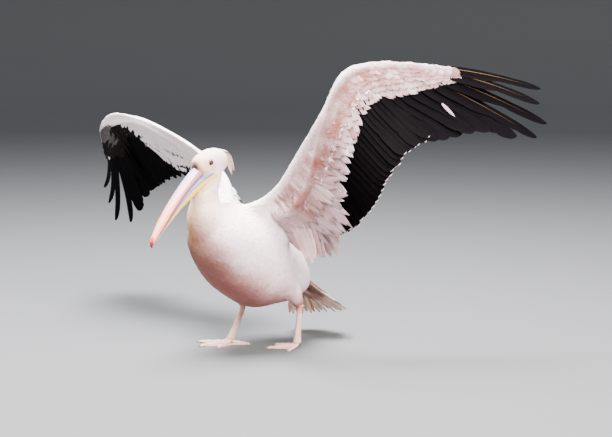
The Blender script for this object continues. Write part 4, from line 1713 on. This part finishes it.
def horn_material(name, stops, end_stops, mask, roughness, grain, upright=False):
    """Bill horn with lengthwise bands across it (or up its side), other bands towards one end,
    and fine growth lines."""
    made = new_material(name)
    axes = add(made, "SeparateXYZ", {0: add(made, "UVMap", uv_map="Bill").outputs[0]})
    place_of = add(made, "TexCoord")
    cloud = add(made, "TexNoise", {"Vector": place_of.outputs["Object"], "Scale": 120.0,
            "Detail": 4.0})
    shift = add(made, "Math", {0: cloud.outputs["Fac"], 1: 0.05, 2: axes.outputs["X"]},
                operation="MULTIPLY_ADD")
    off = add(made, "Math", {0: shift.outputs[0], 1: 0.025 if upright else 0.525},
              operation="SUBTRACT")
    side = add(made, "Math", {0: add(made, "Math", {0: off.outputs[0]}, operation="ABSOLUTE").outputs[0],
            1: 1.0 if upright else 2.0}, operation="MULTIPLY")
    along = add(made, "MapRange", {"Value": axes.outputs["Y"], "From Min": mask[0],
            "From Max": mask[1]})
    mixed = add(made, "Mix", {0: along.outputs[0], 6: band(made, side.outputs[0], stops),
            7: band(made, side.outputs[0], end_stops)}, data_type="RGBA")
    lines = add(made, "CombineXYZ", {
        "X": add(made, "Math", {0: axes.outputs["X"], 1: 60.0}, operation="MULTIPLY").outputs[0],
        "Y": add(made, "Math", {0: axes.outputs["Y"], 1: 4.0}, operation="MULTIPLY").outputs[0]})
    grown = add(made, "TexNoise", {"Vector": lines.outputs[0], "Scale": 1.0, "Detail": 4.0})
    tone = add(made, "MapRange", {"Value": grown.outputs["Fac"], "From Min": 0.25, "From Max": 0.75,
            "To Min": 0.88, "To Max": 1.08})
    toned = add(made, "VectorMath", {0: mixed.outputs[2]}, operation="SCALE")
    made.node_tree.links.new(tone.outputs[0], toned.inputs["Scale"])
    bump = add(made, "Bump", {"Height": grown.outputs["Fac"], "Strength": 0.5, "Distance": grain})
    return finish_material(made, add(made, "BsdfPrincipled", {
        "Base Color": toned.outputs[0], "Roughness": roughness, "Specular IOR Level": 0.45,
        "Normal": bump.outputs[0],
    }))


def bill_piece(name, shell, material, node):
    """A bill part as a mesh with its lengthwise map."""
    verts, faces, shown = shell
    thing = piece(name, place(verts), faces, [material])
    lay_map(thing, "Bill", shown)
    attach(thing, "root")
    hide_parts(node)


# Upper bill horn: pale bluish ridge, peach bands beside it and a yellow-pink rim,
# rosier towards the face.
upper_horn = horn_material(
    "upper_bill_horn",
    [(0.0, "#9fb0cc"), (0.26, "#8fa6cc"), (0.36, "#e8855c"), (0.48, "#e6a07c"), (0.60, "#a9b0d4"),
     (0.76, "#b79cb8"), (0.88, "#b8565a"), (1.0, "#c08a92")],
    [(0.0, "#b7bfdc"), (0.14, "#a4b0d4"), (0.26, "#ee9a74"), (0.60, "#ec8a62"), (0.80, "#dc6c4c"),
     (1.0, "#e08a60")],
    (0.1, 0.6), 0.42, 0.0006)
bill_piece("upper_bill", bill_shell(UPPER_BILL, culmen), upper_horn, "bill_upper")
# Nail: dense red horn, polished by wear.
nail_horn = horn_material(
    "red_nail_horn", [(0.0, "#c4142c"), (0.6, "#b80f22"), (1.0, "#9c1420")],
    [(0.0, "#a80f20"), (0.6, "#960d1c"), (1.0, "#7a0d17")], (0.95, 1.0), 0.3, 0.0003)
bill_piece("nail", bill_shell(NAIL, lambda x, y, f: 0 * x * f, 26, 32, 2.1), nail_horn,
           "bill_nail")
# Lower bill rods: horn, lilac-grey on the upper half of the side and yellow below it.
lower_horn = horn_material(
    "lower_bill_horn", [(0.0, "#f4d83a"), (0.30, "#f0d040"), (0.42, "#7270b0"), (0.72, "#7a78b8"),
        (0.92, "#b4b2dc"), (1.0, "#b8b0d0")],
    [(0.0, "#f4d84a"), (0.42, "#f0cf54"), (0.56, "#a8889c"), (0.85, "#a06878"), (1.0, "#8c4a54")],
    (0.15, 0.62), 0.42, 0.0004, True)
bill_piece("lower_bill", bill_shell(LOWER_BILL, rods, upright=True), lower_horn,
           "bill_lower")
# Pouch: thin elastic skin, egg-yolk yellow with an orange flush and fine creases.
pouch_skin = horn_material(
    "elastic_pouch_skin", [(0.0, "#efc030"), (0.5, "#f4d238"), (0.85, "#f6d93c"), (1.0, "#f2d044")],
    [(0.0, "#f4d648"), (0.6, "#f4d64a"), (1.0, "#efcc48")], (-0.1, 0.6), 0.5, 0.0008)
bill_piece("pouch_skin", bill_shell(POUCH, pleats, 60, 72, 2.1), pouch_skin, "pouch")

# ---- Claws -----------------------------------------------------------------
# A short curved claw on each toe, brown horn paling to the tip.

claw_horn = new_material("brown_claw_horn")
claw_place = add(claw_horn, "TexCoord")
claw_noise = add(claw_horn, "TexNoise", {"Vector": claw_place.outputs["Object"], "Scale": 700.0,
        "Detail": 3.0})
claw_mix = add(claw_horn, "Mix", {0: claw_noise.outputs["Fac"], 6: linear("#6b5347"),
        7: linear("#a48a76")}, data_type="RGBA")
claw_bump = add(claw_horn, "Bump", {"Height": claw_noise.outputs["Fac"], "Strength": 0.3,
        "Distance": 0.0003})
finish_material(claw_horn, add(claw_horn, "BsdfPrincipled", {
    "Base Color": claw_mix.outputs[2], "Roughness": 0.35, "Normal": claw_bump.outputs[0]}))
claws = []
for side, path in ANKLES.items():
    heel = np.array([*path[2][:2], 0.0])
    for toe in TOES[side]:
        way = unit(np.array([*toe, 0.0]) - heel)
        end = np.array([*toe, 0.0]) - way * 5
        run = np.linspace(0, 1, 10)
        middle = end + way * (run * 11)[:, None]
        middle[:, 2] = 4.2 + 1.2 * np.sin(np.pi * run * 0.9) - 3.2 * run**2
        girth = 2.5 * (1 - run) ** 0.7 + 0.3
        sideways = unit(np.cross(way, (0, 0, 1)))
        claws.append(loft(middle, girth[:, None] * sideways, girth[:, None] * np.array([0, 0, 1.0]), 12))
claw_verts, claw_faces = gather(claws)
claw_piece = piece("claws", place(claw_verts), claw_faces, [claw_horn])
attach(claw_piece, "root")

# ---- Hand over -------------------------------------------------------------
# The sizes of the solid model and of this one, for comparison, then the checks.

bpy.context.view_layer.update()
low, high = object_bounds()
